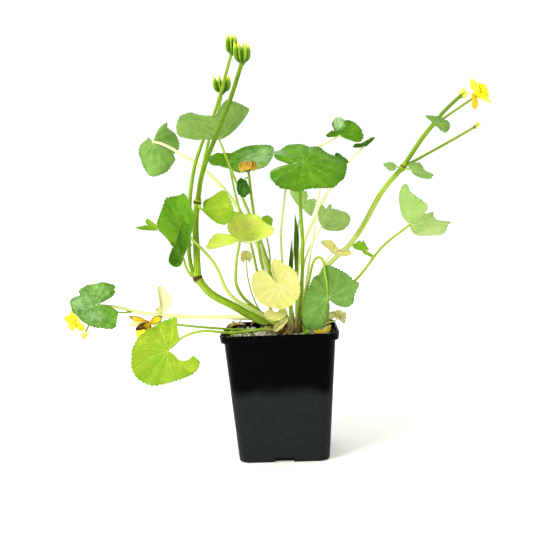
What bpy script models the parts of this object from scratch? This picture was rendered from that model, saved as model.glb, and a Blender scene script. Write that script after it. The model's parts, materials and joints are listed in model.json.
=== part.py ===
"""Marsh marigold in a square nursery pot.

Metres, +Z up. The origin is the middle of the pot's foot, on the surface that it stands on, and
the front, where the lime and cream leaves hang, is -Y. Routes and sizes of the plant are written
in millimetres, and each route starts where its stem grows from.
"""

import math

import bmesh
import bpy
from mathutils import Matrix, Vector

MM = 0.001
GAP = 0.3 * MM

# Pot, a 9 cm square one
RIM_WIDTH = 90 * MM
POT_HEIGHT = 98 * MM
FOOT_WIDTH = 69 * MM
SHOULDER_WIDTH = 84 * MM
RIM_DROP = 6 * MM
WALL = 1.4 * MM
CORNER = 9 * MM
CORNER_STEPS = 3
DRAIN_WIDTH = 14.5 * MM
DRAIN_HEIGHT = 3.5 * MM
DRAIN_DEPTH = 9 * MM

# What fills it
COMPOST_TOP = 91 * MM
CROWN_TOP = 95 * MM
CROWN_CENTRE = (9 * MM, 0)
CROWN_SIZE = (19 * MM, 23 * MM)
CROWN_ROOT = 12 * MM

# How the plant is drawn
BLADE_THICKNESS = 1.0 * MM
LARGE_BLADE = 20
STEM_STEPS = 2
STALK_STEPS = 1
LOBE_ROUNDING = math.radians(38)
DENT_WIDTH = 16
CREASE = 0.35


def clear_scene():
    for old in list(bpy.data.objects):
        bpy.data.objects.remove(old)


def material(name, colour, roughness):
    made = bpy.data.materials.new(name)
    made.use_nodes = True
    shader = made.node_tree.nodes["Principled BSDF"]
    shader.inputs["Base Color"].default_value = (*colour, 1)
    shader.inputs["Roughness"].default_value = roughness
    shader.inputs["Metallic"].default_value = 0
    return made


def materials():
    return {
        "pot plastic": material("pot plastic", (0.012, 0.013, 0.014), 0.3),
        "compost": material("compost", (0.05, 0.035, 0.025), 0.95),
        "crown": material("crown", (0.2, 0.13, 0.05), 0.8),
        "stem": material("stem", (0.25, 0.45, 0.06), 0.45),
        "green leaf": material("green leaf", (0.12, 0.33, 0.05), 0.45),
        "lime leaf": material("lime leaf", (0.45, 0.6, 0.1), 0.5),
        "pale leaf": material("pale leaf", (0.7, 0.68, 0.3), 0.55),
        "seed pod": material("seed pod", (0.3, 0.5, 0.05), 0.5),
        "petal": material("petal", (0.85, 0.7, 0.02), 0.4),
        "withered": material("withered", (0.5, 0.3, 0.06), 0.8),
    }


def link(name, data, paint):
    made = bpy.data.objects.new(name, data)
    bpy.context.scene.collection.objects.link(made)
    made.data.materials.append(paint)
    return made


def mesh_object(name, bm, paint, sharp_deg=40):
    """An object that holds the bmesh, shaded smooth but for its real corners."""
    mesh = bpy.data.meshes.new(name)
    bm.to_mesh(mesh)
    bm.free()
    mesh.shade_smooth()
    mesh.set_sharp_from_angle(angle=math.radians(sharp_deg))
    return link(name, mesh, paint)


def helper(made):
    """A cutter, or a shape that a Boolean joins to another, isn't itself part of the plant."""
    made.hide_render = True
    made.display_type = "WIRE"
    return made


def boolean(made, other, operation, use_self=False):
    step = made.modifiers.new(operation.lower(), "BOOLEAN")
    step.object = helper(other)
    step.operation = operation
    step.use_self = use_self


def rounded_square(width, z, corner=CORNER):
    """Points of a square with round corners, anticlockwise seen from above."""
    points = []
    middle = width / 2 - corner
    for quarter in range(4):
        turn = Matrix.Rotation(quarter * math.pi / 2, 3, "Z")
        for step in range(CORNER_STEPS + 1):
            angle = step * math.pi / 2 / CORNER_STEPS
            out = Vector((math.cos(angle), math.sin(angle), 0)) * corner
            points.append(turn @ (Vector((middle, middle, z)) + out))
    return points


def stack(rings):
    """A closed solid through rings of points, from the first to the last."""
    bm = bmesh.new()
    loops = [[bm.verts.new(point) for point in ring] for ring in rings]
    bm.faces.new(loops[0])
    bm.faces.new(loops[-1])
    for low, high in zip(loops, loops[1:]):
        for i in range(len(low)):
            bm.faces.new((low[i - 1], low[i], high[i], high[i - 1]))
    bmesh.ops.recalc_face_normals(bm, faces=bm.faces)
    return bm


def wall_width(z):
    """Outer width of the pot's tapered side at height z."""
    share = z / (POT_HEIGHT - RIM_DROP)
    return FOOT_WIDTH + (SHOULDER_WIDTH - FOOT_WIDTH) * share


def box(name, size, centre):
    bm = bmesh.new()
    bmesh.ops.create_cube(bm, size=1)
    bmesh.ops.scale(bm, vec=size, verts=bm.verts)
    bmesh.ops.translate(bm, vec=centre, verts=bm.verts)
    mesh = bpy.data.meshes.new(name)
    bm.to_mesh(mesh)
    bm.free()
    made = bpy.data.objects.new(name, mesh)
    bpy.context.scene.collection.objects.link(made)
    return made


def pot(paint):
    """Thin-walled square pot with a turned-out rim, and a drain slot low in each side."""
    shoulder = POT_HEIGHT - RIM_DROP
    floor = 2 * WALL
    outside = [
        rounded_square(FOOT_WIDTH - 3 * MM, 0, CORNER - 1.5 * MM),
        rounded_square(FOOT_WIDTH, 1.5 * MM),
        rounded_square(SHOULDER_WIDTH, shoulder),
        rounded_square(RIM_WIDTH - 2 * MM, shoulder),
        rounded_square(RIM_WIDTH, POT_HEIGHT),
    ]
    inside = [
        rounded_square(RIM_WIDTH - 2 * WALL, POT_HEIGHT, CORNER - WALL),
        rounded_square(SHOULDER_WIDTH - 2 * WALL, shoulder, CORNER - WALL),
        rounded_square(wall_width(floor) - 2 * WALL, floor, CORNER - WALL),
    ]
    made = mesh_object("pot", stack(outside + inside), paint)
    for side in range(4):
        turn = Matrix.Rotation(side * math.pi / 2, 4, "Z")
        reach = Vector((0, -FOOT_WIDTH / 2, DRAIN_HEIGHT / 2 - MM))
        size = (DRAIN_WIDTH, DRAIN_DEPTH, DRAIN_HEIGHT + 2 * MM)
        slot = box(f"drain_cutter_{side}", size, reach)
        slot.matrix_world = turn
        boolean(made, slot, "DIFFERENCE")
    return made


def ellipse_ring(size, z, steps=12):
    x, y = CROWN_CENTRE
    turns = [step * 2 * math.pi / steps for step in range(steps)]
    return [(x + size[0] * math.cos(t), y + size[1] * math.sin(t), z) for t in turns]


def crown_rings(grow=0.0):
    wide, deep = CROWN_SIZE
    low = CROWN_TOP - CROWN_ROOT - grow
    return [
        ellipse_ring((wide * 0.5 + grow, deep * 0.5 + grow), low),
        ellipse_ring((wide + grow, deep + grow), COMPOST_TOP - 2 * MM),
        ellipse_ring((wide * 0.94 + grow, deep * 0.94 + grow), CROWN_TOP + grow),
    ]


def compost(paint):
    """The root ball: it fills the pot to just under the rim, with a pocket for the crown."""
    bottom = 2 * WALL + GAP
    low = wall_width(bottom) - 2 * WALL - 2 * GAP
    high = wall_width(COMPOST_TOP) - 2 * WALL - 2 * GAP
    inner = CORNER - WALL - GAP
    rings = [rounded_square(low, bottom, inner), rounded_square(high, COMPOST_TOP, inner)]
    made = mesh_object("compost", stack(rings), paint)
    boolean(made, mesh_object("crown_pocket", stack(crown_rings(GAP)), paint), "DIFFERENCE")
    return made


def crown(paint):
    """The short rootstock that every stalk springs from."""
    return mesh_object("crown", stack(crown_rings()), paint)


def tubes(name, routes, radii, paint, steps, sides=1):
    """Round tubes along smooth curves through routes in mm; radii in mm run from first to last point."""
    curve = bpy.data.curves.new(name, "CURVE")
    curve.dimensions = "3D"
    curve.resolution_u = steps
    curve.bevel_depth = MM
    curve.bevel_resolution = sides
    curve.use_fill_caps = True
    for route in routes:
        spline = curve.splines.new("BEZIER")
        spline.bezier_points.add(len(route) - 1)
        for i, point in enumerate(route):
            knot = spline.bezier_points[i]
            knot.co = Vector(point) * MM
            knot.handle_left_type = knot.handle_right_type = "AUTO"
            place = i / (len(route) - 1) * (len(radii) - 1)
            low = min(int(place), len(radii) - 2)
            knot.radius = radii[low] + (radii[low + 1] - radii[low]) * (place - low)
    return link(name, curve, paint)


def stem(name, route, radii, paint):
    return tubes(name, [route], radii, paint, STEM_STEPS)


def as_mesh(made):
    """The tube as a mesh with its caps welded on, as a Boolean needs it."""
    bpy.context.view_layer.update()
    evaluated = made.evaluated_get(bpy.context.evaluated_depsgraph_get())
    bm = bmesh.new()
    bm.from_mesh(evaluated.to_mesh())
    bmesh.ops.remove_doubles(bm, verts=bm.verts, dist=1e-6)
    bmesh.ops.recalc_face_normals(bm, faces=bm.faces)
    paint = made.data.materials[0]
    solid = mesh_object(made.name + "_mesh", bm, paint)
    bpy.data.objects.remove(made)
    return solid


def bend(along, height, angle, width):
    """Where a point of a strip goes when the strip turns by angle, spread over width from the fold."""
    if abs(angle) < 1e-6:
        return along, height
    near = min(abs(along), width)
    rest = abs(along) - near
    turn = angle * near / width
    radius = width / angle
    out = radius * math.sin(turn) + rest * math.cos(turn) - height * math.sin(turn)
    rise = radius * (1 - math.cos(turn)) + rest * math.sin(turn) + height * math.cos(turn)
    return math.copysign(out, along), rise


def both_sides(value):
    """A pair for the left and right half of a blade, from a pair or from one value for both."""
    return value if isinstance(value, tuple) else (value, value)


def margin(angle, spec):
    """Distance from the stalk to the margin, in mm, in the direction angle from the tip."""
    left, right = both_sides(spec.get("reach", 160))
    reach = math.radians(left if angle > 0 else right)
    edge = spec["length"] * (1 - spec.get("basal", 0.1) * (1 - math.cos(angle)) / 2)
    lobe = (abs(angle) - reach + LOBE_ROUNDING) / LOBE_ROUNDING
    edge *= 1 - spec.get("inset", 0.35) * max(0.0, lobe) ** 2.5
    for place, depth in spec.get("dents", []):
        edge *= 1 - depth * math.exp(-(((math.degrees(angle) - place) / DENT_WIDTH) ** 2))
    return edge


def blade_point(share, angle, spec):
    """A point of the blade: x to the tip, y to the left side, z out of the upper face.

    share runs from 0 where the stalk joins to 1 at the margin, and angle from the tip round to
    the notch, which is open beyond the leaf's reach.
    """
    length = spec["length"] * MM
    edge = margin(angle, spec) * MM
    x = share * edge * math.cos(angle)
    y = share * edge * math.sin(angle) * spec.get("width", 1.0)
    wave = math.sin(spec.get("waves", 5) * angle + spec.get("phase", 0))
    z = length * share * share * (spec.get("cup", 0.1) + spec.get("ruffle", 0.03) * wave)
    left, right = both_sides(spec.get("fold", 0))
    y, z = bend(y, z, math.radians(left if y > 0 else right), CREASE * length)
    x, z = bend(x, z, -math.radians(spec.get("droop", 0)), length)
    return x, y, z


def disc(rings, steps, reach):
    """A flat fan of faces about the origin, from -reach[1] round to reach[0] degrees."""
    left, right = (math.radians(side) for side in both_sides(reach))
    bm = bmesh.new()
    spoke = [bm.verts.new((k / rings, 0, 0)) for k in range(rings + 1)]
    edges = [bm.edges.new(pair) for pair in zip(spoke, spoke[1:])]
    bmesh.ops.rotate(bm, verts=spoke, matrix=Matrix.Rotation(-right, 3, "Z"))
    bmesh.ops.spin(bm, geom=spoke + edges, axis=(0, 0, 1), angle=left + right, steps=steps)
    bmesh.ops.remove_doubles(bm, verts=bm.verts, dist=1e-4)
    bmesh.ops.recalc_face_normals(bm, faces=bm.faces)
    if sum(face.normal.z for face in bm.faces) < 0:
        bmesh.ops.reverse_faces(bm, faces=bm.faces)
    return bm


def polar(vert):
    """Share of the way to the margin, and angle, of a point of the flat disc."""
    return vert.co.length, math.atan2(vert.co.y, vert.co.x)


def facing(tip, upper, place):
    """Matrix of a blade whose tip and upper face point those ways, with its stalk's end at place."""
    x = Vector(tip).normalized()
    z = Vector(upper)
    z = (z - z.dot(x) * x).normalized()
    y = z.cross(x)
    return Matrix.Translation(Vector(place) * MM) @ Matrix((x, y, z)).transposed().to_4x4()


def thicken(made, thickness):
    step = made.modifiers.new("thickness", "SOLIDIFY")
    step.thickness = thickness
    step.offset = 0


def leaf(name, spec, paint, stalk_paint):
    """A leaf, blade and stalk in one. spec holds its stalk's route and its blade's form."""
    rings = 3 if spec.get("fold", 0) else 2
    steps = 12 if spec["length"] >= LARGE_BLADE else 8
    bm = disc(rings, steps, spec.get("reach", 160))
    for vert in bm.verts:
        vert.co = blade_point(*polar(vert), spec)
    made = mesh_object(name, bm, paint, 60)
    made.matrix_world = facing(spec["tip"], spec["upper"], spec["stalk"][-1])
    thicken(made, BLADE_THICKNESS)
    sides = 1 if spec["length"] >= LARGE_BLADE else 0
    route = tubes(name + "_stalk", [spec["stalk"]], spec["radii"], stalk_paint, STALK_STEPS, sides)
    boolean(made, as_mesh(route), "UNION")
    return made


def flower(name, spec, paint, stalk_paint=None):
    """Five petal-like sepals, fused to one lobed bowl here. spec holds its place, face and size."""
    bm = disc(2, 10, 180)
    radius = spec["size"] / 2 * MM
    for vert in bm.verts:
        share, angle = polar(vert)
        lobes = 0.7 + 0.3 * abs(math.cos(angle * 2.5)) ** 0.5
        wave = spec.get("ruffle", 0) * math.sin(3 * angle + 1)
        height = radius * (spec["cup"] * share**1.5 + wave * share)
        out = radius * share * lobes
        vert.co = (out * math.cos(angle), out * math.sin(angle), height)
    made = mesh_object(name, bm, paint, 60)
    made.matrix_world = facing(spec["tip"], spec["face"], spec["place"])
    thicken(made, BLADE_THICKNESS)
    if "stalk" in spec:
        route = tubes(name + "_stalk", [spec["stalk"]], spec["radii"], stalk_paint, STALK_STEPS)
        boolean(made, as_mesh(route), "UNION")
    return made


def seed_head(name, spec, paint):
    """A ring of beaked pods on a small seat, fused to one solid."""
    count, height, spread = spec["pods"], spec["height"], spec["spread"]
    routes = []
    for pod in range(count):
        turn = Matrix.Rotation(2 * math.pi * pod / count, 3, "Z")
        profile = [(0.3, 0.05), (0.9, 0.5), (1.12, 1.0)]
        routes.append([turn @ Vector((spread * out, 0, height * up)) for out, up in profile])
    radii = [spec["girth"] * 0.6, spec["girth"], 0.25]
    ring = as_mesh(tubes(name + "_pods", routes, radii, paint, STALK_STEPS, sides=0))
    bm = bmesh.new()
    bmesh.ops.create_uvsphere(bm, u_segments=6, v_segments=4, radius=spec["seat"] * MM)
    made = mesh_object(name, bm, paint)
    made.matrix_world = facing(spec["side"], spec["axis"], spec["place"])
    ring.matrix_world = made.matrix_world
    boolean(made, ring, "UNION", use_self=True)
    return made


# The left flower stem, which leans out over the rim and forks twice
LEFT_STEMS = {
    "flower_stem_left_lower": (
        [(-3, -7, 98), (-18, -12, 107), (-35, -17, 118), (-52, -21, 129), (-61, -23, 139.5)],
        [3.1, 3.1, 2.8],
    ),
    "flower_stem_left_middle": (
        [(-61, -23, 141.5), (-61, -22, 162), (-61, -20, 184), (-59, -20, 197.5)],
        [2.8, 2.3, 2.2],
    ),
    "flower_stem_left_tall": (
        [(-65.5, -18, 144), (-67, -12, 184), (-63, -2, 225), (-56, 6, 248), (-45, 4, 271),
         (-30, 4, 314.5)],
        [1.5, 1.3, 1.1],
    ),
    "flower_stem_left_front": (
        [(-58.6, -21, 200), (-53, -29, 220), (-41, -34, 246.5), (-29.5, -34, 272), (-19.7, -32, 298)],
        [1.8, 1.6, 1.4],
    ),
    "flower_stem_left_back": (
        [(-57.6, -16, 200), (-55, -4, 228), (-51.5, 7, 247.5), (-44.8, 13, 267), (-39.7, 14, 286)],
        [1.4, 1.1, 1.1],
    ),
}

SEED_HEADS = {
    "seed_head_tall": dict(place=(-29.6, 4, 316.6), axis=(0.15, 0, 1), side=(1, 0.2, 0),
                           pods=6, height=13, spread=4.2, girth=1.7, seat=2),
    "seed_head_front": dict(place=(-19.2, -32, 300.6), axis=(0.2, 0, 1), side=(1, 0, 0),
                            pods=7, height=13, spread=5.6, girth=1.8, seat=2.2),
    "seed_head_back": dict(place=(-39.5, 14, 288.4), axis=(0.05, 0, 1), side=(1, 0.3, 0),
                           pods=7, height=12, spread=6.6, girth=1.7, seat=2),
    "young_head_tip": dict(place=(143, -18, 269.7), axis=(0.75, 0, 0.65), side=(0, 1, 0),
                           pods=5, height=6.5, spread=2.6, girth=0.9, seat=1.6),
    "young_head_side": dict(place=(158.5, 6, 249.3), axis=(0.75, 0, 0.55), side=(0, 1, 0),
                            pods=4, height=5, spread=1.6, girth=0.8, seat=1.4),
}

# The right flower stem, which arches out and carries the open flower
RIGHT_STEMS = {
    "flower_stem_right_lower": (
        [(14, 3, 98), (25, 3, 124), (38, 0, 144), (60, -5, 165), (85, -10, 204), (98.3, -12, 218)],
        [2.3, 2.2, 2.0, 1.8],
    ),
    "flower_stem_right_upper": (
        [(99.7, -12.3, 219.8), (114, -14, 240), (123, -15, 250.5)],
        [1.7, 1.5],
    ),
    "flower_stem_right_tip": (
        [(124.2, -15.4, 252), (131, -17, 259.5), (141.6, -18, 268.6)],
        [1.4, 1.2],
    ),
    "flower_stem_right_flower": (
        [(127, -13.5, 252.5), (141, -8, 261), (158, -4, 271.6)],
        [0.9, 0.8],
    ),
    "flower_stem_right_side": (
        [(102, -10, 220), (112, -6, 225.5), (134, 0, 236.5), (156.6, 6, 248.3)],
        [1.0, 0.9],
    ),
}

# Stems that lie out to the left over the rim, and the stalk of the flower that has faded
OTHER_STEMS = {
    "trailing_stem": (
        [(-1, 17, 97.5), (-16, 22, 102.5), (-43, 33, 104), (-66, 36, 104.5), (-98, 34, 107)],
        [2.1, 2.2, 2.0],
    ),
    "withered_flower_stalk": (
        [(1, -14, 96.6), (-22, -15, 98.4), (-47, -14, 100.6), (-72, -13, 103.5), (-93, -10, 107)],
        [1.1, 1.0, 0.9],
    ),
    "spent_flower_stalk": (
        [(9, 2, 96), (-3, 0, 121), (-12, -2, 146), (-15, -3, 171), (-18, -5, 199), (-19.6, -6, 220.5)],
        [1.4, 1.2, 1.0],
    ),
    "spear_tall": (
        [(13, -2.5, 96), (14, 5, 130), (15, 8, 161), (15.5, 8, 174), (15, 8, 188)],
        [1.4, 1.4, 1.6, 0.2],
    ),
    "spear_short": (
        [(8, -4, 96), (9, 3, 130), (10.5, 4, 152), (12, 4, 168)],
        [1.3, 1.4, 1.5, 0.2],
    ),
}

FLOWERS = {
    "flower_right": dict(place=(159.6, -4, 273), face=(0.72, -0.42, 0.55), tip=(-0.5, 0, 0.8),
                         size=26, cup=0.2),
    "withered_flower": dict(place=(-102, -10, 106.5), face=(-0.6, -0.6, -0.5), tip=(-0.8, 0, 0.6),
                            size=26, cup=0.4, ruffle=0.12),
    "spent_flower": dict(place=(-20, -6.5, 223), face=(0, -0.5, 0.9), tip=(1, 0, 0),
                         size=15, cup=0.5, ruffle=0.15),
    "flower_trailing": dict(place=(-174, 31, 106), face=(-0.6, -0.7, -0.1), tip=(0, 0, 1),
                            size=20, cup=0.35,
                            stalk=[(-126, 21, 111), (-140, 28, 112.5), (-158, 33, 111), (-174, 31, 106)],
                            radii=[1.1, 0.7, 0.8, 0.8]),
    "flower_nodding": dict(place=(-167.5, 32, 93), face=(0.1, -0.5, 0.8), tip=(1, 0, 0),
                           size=13, cup=0.5,
                           stalk=[(-161, 35, 108), (-165, 36, 101), (-167, 34, 95), (-167.5, 32, 93)],
                           radii=[0.8, 0.7]),
    "fallen_petal": dict(place=(33, -25, 96.5), face=(0.1, -0.25, 1), tip=(1, 0, 0),
                         size=12, cup=0.25),
}

LEAVES = {
    "leaf_centre": dict(
        stalk=[(14, -8, 96), (17, -14, 120), (20, -22, 160), (20, -29, 205), (23, -34, 225)],
        radii=[1.8, 1.5, 1.3], tip=(1, 0.05, -0.12), upper=(0.05, -0.63, 0.78), length=34,
        basal=0.2, reach=172, inset=0.12, cup=-0.08, paint="green leaf"),
    "leaf_top_left": dict(
        stalk=[(3, 7, 96), (-3, 7, 130), (-14, 5, 170), (-26, 4, 202), (-42, 0, 248)],
        radii=[1.6, 1.3, 1.2], tip=(0.04, -0.74, 0.67), upper=(0, 0.67, 0.74), length=36,
        reach=(80, 98), fold=(50, 0), cup=0.05, dents=[(-12, 0.22)], paint="green leaf"),
    "leaf_back": dict(
        stalk=[(-3, 11.5, 96), (-15, 18, 130), (-22.6, 22, 167), (-32, 25, 200), (-38, 27, 234)],
        radii=[1.4, 1.2, 1.0], tip=(1, 0, 0.03), upper=(-0.1, -0.42, 0.9), length=38,
        basal=0.65, reach=172, inset=0.1, width=0.8, paint="green leaf"),
    "leaf_upper_left": dict(
        stalk=[(5, 19, 96), (-10, 22, 145), (-31, 30, 193), (-57.5, 32, 226.5), (-81, 30, 244),
               (-93, 35, 251), (-103, 45, 255)],
        radii=[1.5, 1.3, 1.0], tip=(-0.2, 0.1, -0.97), upper=(0.3, 0.93, 0), length=28,
        basal=0.25, reach=(130, 165), fold=(42, 25), cup=0.25, paint="green leaf"),
    "leaf_right_back": dict(
        stalk=[(11, 18, 96), (3, 24, 150), (5, 32, 190), (17, 40, 229), (56, 55, 254)],
        radii=[1.1, 0.9, 0.9], tip=(0.8, 0.3, 0.5), upper=(0.05, -0.92, 0.4), length=20,
        fold=(25, 0), paint="green leaf"),
    "leaf_right_dark": dict(
        stalk=[(17, 14, 96), (15, 27, 140), (35, 48, 191), (63.4, 64, 231.5), (77.7, 70, 245)],
        radii=[1.3, 1.1, 1.0], tip=(0.85, 0.1, 0.5), upper=(-0.42, 0.12, 0.9), length=16,
        paint="green leaf"),
    "leaf_behind_centre": dict(
        stalk=[(16, 9, 96), (23, 9, 137), (32, 4, 184), (37, 4, 210), (48, 5, 231)],
        radii=[0.9, 0.7], tip=(0.8, 0.2, -0.3), upper=(0.3, -0.5, 0.8), length=16,
        paint="green leaf"),
    "leaf_right_low": dict(
        stalk=[(22, 9, 96), (19, 16, 125), (22, 18, 150), (36, 15, 177)],
        radii=[1.2, 1.0], tip=(0.97, 0, 0.18), upper=(0, 0.85, 0.5), length=25,
        reach=(150, 95), width=0.85, fold=(60, 10), paint="green leaf"),
    "leaf_middle_grey": dict(
        stalk=[(10, 12, 96), (10, 14, 140), (17, 13, 175), (21, 7, 196)],
        radii=[1.1, 0.9], tip=(0.5, -0.6, 0.6), upper=(0.1, 0.8, 0.6), length=14,
        fold=20, paint="green leaf"),
    "leaf_right": dict(
        stalk=[(19, -4, 96), (33, -6, 114), (61, -10, 135), (82, -17, 160), (102, -20, 175)],
        radii=[1.4, 1.2, 1.1], tip=(0.5, -0.75, 0.35), upper=(0.5, 0.65, 0.5), length=32,
        reach=(130, 118), fold=(45, 45), paint="green leaf"),
    "leaf_front_right": dict(
        stalk=[(17, -14, 96), (23, -24, 133), (32, -34, 153.5), (36, -41, 140), (37, -41, 124)],
        radii=[1.4, 1.1, 1.0], tip=(-0.5, 0.05, 0.85), upper=(0.05, 0.97, 0.1), length=24,
        basal=-0.15, reach=(148, 140), inset=0.35,
        dents=[(-25, 0.1), (-100, 0.15), (70, 0.12)],
        paint="green leaf"),
    "leaf_cream_round": dict(
        stalk=[(8, -14, 96), (5, -20, 112), (2, -24, 123), (0, -30, 133)],
        radii=[1.4, 1.2], tip=(0.5, -0.2, -0.85), upper=(-0.1, -0.93, 0.3), length=18,
        basal=-0.15, reach=170, inset=0.15, width=1.08, paint="pale leaf"),
    "leaf_cream_small": dict(
        stalk=[(4, -19, 96), (1, -23, 106), (-2, -28, 113)],
        radii=[1.0, 0.8], tip=(0.1, -0.5, -0.85), upper=(0, -0.8, 0.5), length=8.5,
        paint="pale leaf"),
    "leaf_cream_sheath": dict(
        stalk=[(-1, -19, 96), (-3, -26, 98), (-4, -29, 99)],
        radii=[0.8, 0.7], tip=(0.8, 0.05, 0.55), upper=(-0.3, -0.7, 0.5), length=14, width=0.4,
        basal=0.8, paint="pale leaf"),
    "leaf_lime": dict(
        stalk=[(2, 0, 96), (-17, -7, 113), (-31, -16, 131), (-31, -22, 150), (-27, -26, 168)],
        radii=[1.5, 1.3, 1.1], tip=(0.75, 0.4, 0.5), upper=(0, -0.8, 0.6), length=30,
        reach=(172, 150), inset=0.15, fold=(10, 35), dents=[(108, 0.45)], paint="lime leaf"),
    "leaf_lime_back": dict(
        stalk=[(-7, 5, 96), (-8, 12, 130), (-7, 14, 160), (-12, 12, 182)],
        radii=[1.0, 0.9, 0.8], tip=(1, 0, -0.1), upper=(0.1, -0.5, 0.8), length=13,
        reach=80, paint="green leaf"),
    "leaf_stem_right": dict(
        stalk=[(-57, -24.5, 196), (-56, -26, 194), (-54, -27, 192.5)],
        radii=[1.2, 1.0], tip=(0.96, -0.2, 0.08), upper=(0, -0.7, 0.7), length=27, reach=62,
        inset=0.6, paint="lime leaf"),
    "leaf_left": dict(
        stalk=[(3, -11, 96), (-5, -14, 104), (-20, -20, 115), (-36, -25, 127), (-47, -30, 152),
               (-64, -34, 173)],
        radii=[1.5, 1.3, 1.2], tip=(-0.52, -0.1, 0.86), upper=(-0.2, -0.95, 0), length=34,
        width=0.7, reach=(80, 60), inset=0.5, paint="green leaf"),
    "leaf_left_folded": dict(
        stalk=[(-65.5, -25, 143), (-69, -38, 150), (-71.5, -44, 157.5)],
        radii=[1.2, 1.0], tip=(0.38, -0.1, 0.92), upper=(0.35, -0.93, -0.1), length=29,
        width=0.75, fold=(70, 70), reach=125, paint="green leaf"),
    "leaf_left_ragged": dict(
        stalk=[(-66, -10, 166), (-80, -12, 174), (-92, -12, 177)],
        radii=[0.8, 0.6], tip=(-1, -0.1, 0.1), upper=(0, -0.6, 0.8), length=16, width=0.6,
        ruffle=0.2, dents=[(-20, 0.3)], paint="green leaf"),
    "leaf_far_left": dict(
        stalk=[(-99, 34, 107.3), (-118, 30, 111), (-136, 23, 117), (-152, 17, 120)],
        radii=[1.9, 1.7, 1.3], tip=(-0.97, 0, -0.1), upper=(0.1, -0.9, 0.4), length=22,
        reach=155, basal=-0.1, inset=0.2, dents=[(-35, 0.2)], paint="green leaf"),
    "leaf_trailing_pale": dict(
        stalk=[(-98, 33, 110), (-98, 33, 112), (-98, 34, 114)],
        radii=[1.0, 0.9], tip=(0.08, 0.2, 0.97), upper=(0.6, -0.75, 0.2), length=20, width=0.6,
        fold=30, reach=95, paint="pale leaf"),
    "leaf_low_left": dict(
        stalk=[(-2, -16, 95.6), (-4, -20, 98), (-35, -34, 99.5), (-63, -46, 102), (-79, -44, 93),
               (-83, -44, 89)],
        radii=[1.1, 1.0, 1.0], tip=(-0.93, 0, -0.35), upper=(0.1, -0.95, 0.25), length=28,
        basal=0, reach=156, inset=0.3, paint="lime leaf"),
    "leaf_cream_curled": dict(
        stalk=[(22, -8, 96), (29, -8, 125), (36, -8, 146), (43, -14, 156)],
        radii=[0.8, 0.7], tip=(1, 0, -0.2), upper=(0.3, -0.5, 0.8), length=15, width=0.6,
        ruffle=0.25, paint="pale leaf"),
    "leaf_small_ragged": dict(
        stalk=[(74, -17, 152), (70, -20, 155), (66, -21, 158)],
        radii=[0.7, 0.6], tip=(-0.8, 0, 0.55), upper=(0.5, -0.5, 0.8), length=12, width=0.7,
        ruffle=0.2, dents=[(0, 0.3)], paint="green leaf"),
    "leaf_cream_thin": dict(
        stalk=[(-5, -1, 96), (-17, 0, 114), (-24, 2, 136), (-25, 3, 154)],
        radii=[0.8, 0.7], tip=(-0.6, -0.5, -0.3), upper=(0, -0.5, 0.8), length=11,
        paint="pale leaf"),
    "leaf_withered": dict(
        stalk=[(24, 1, 95.6), (26, 2, 97), (38, 8, 99), (46, 10, 103), (44, 12, 108)],
        radii=[0.7, 0.7], tip=(0.7, 0, -0.3), upper=(0, -0.5, 0.8), length=10,
        ruffle=0.3, paint="withered"),
    "bract_right_fork": dict(
        stalk=[(100.5, -16, 217.5), (102, -18, 217), (104, -19, 216.5)],
        radii=[0.8, 0.7], tip=(0.85, -0.4, -0.3), upper=(0, -0.5, 0.85), length=22, width=0.9,
        reach=(85, 60), paint="green leaf"),
    "bract_right_small": dict(
        stalk=[(95.5, -15.5, 218.5), (94.5, -16, 219), (93, -16.5, 219.3)],
        radii=[0.7, 0.6], tip=(-0.95, -0.1, 0.25), upper=(0, -0.5, 0.8), length=10, width=0.6,
        reach=100, paint="green leaf"),
    "bract_right_top": dict(
        stalk=[(124, -19, 249.5), (125, -20.5, 249.5), (126.5, -22, 249)],
        radii=[0.7, 0.6], tip=(0.82, -0.15, -0.55), upper=(0.3, -0.85, 0.45), length=13,
        width=0.6, basal=0, reach=165, inset=0.2, paint="green leaf"),
    "bract_spent": dict(
        stalk=[(-20.5, -8.8, 216.5), (-22, -11, 216), (-23, -12, 215)],
        radii=[0.7, 0.6], tip=(-0.05, -0.1, -0.95), upper=(-0.3, -0.8, 0.2), length=14, width=0.5,
        reach=110, paint="green leaf"),
}


def build():
    clear_scene()
    paints = materials()
    pot(paints["pot plastic"])
    compost(paints["compost"])
    crown(paints["crown"])
    for stems in (LEFT_STEMS, RIGHT_STEMS, OTHER_STEMS):
        for name, (route, radii) in stems.items():
            stem(name, route, radii, paints["stem"])
    for name, spec in SEED_HEADS.items():
        seed_head(name, spec, paints["seed pod"])
    for name, spec in FLOWERS.items():
        flower(name, spec, paints["petal"], paints["stem"])
    for name, spec in LEAVES.items():
        leaf(name, spec, paints[spec["paint"]], paints["stem"])


build()
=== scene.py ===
"""The looks of a marsh marigold in its nursery pot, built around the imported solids."""

import json
import math
import random

import bmesh
import bpy
from mathutils import Matrix, Vector, noise
from mathutils.geometry import interpolate_bezier

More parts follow.
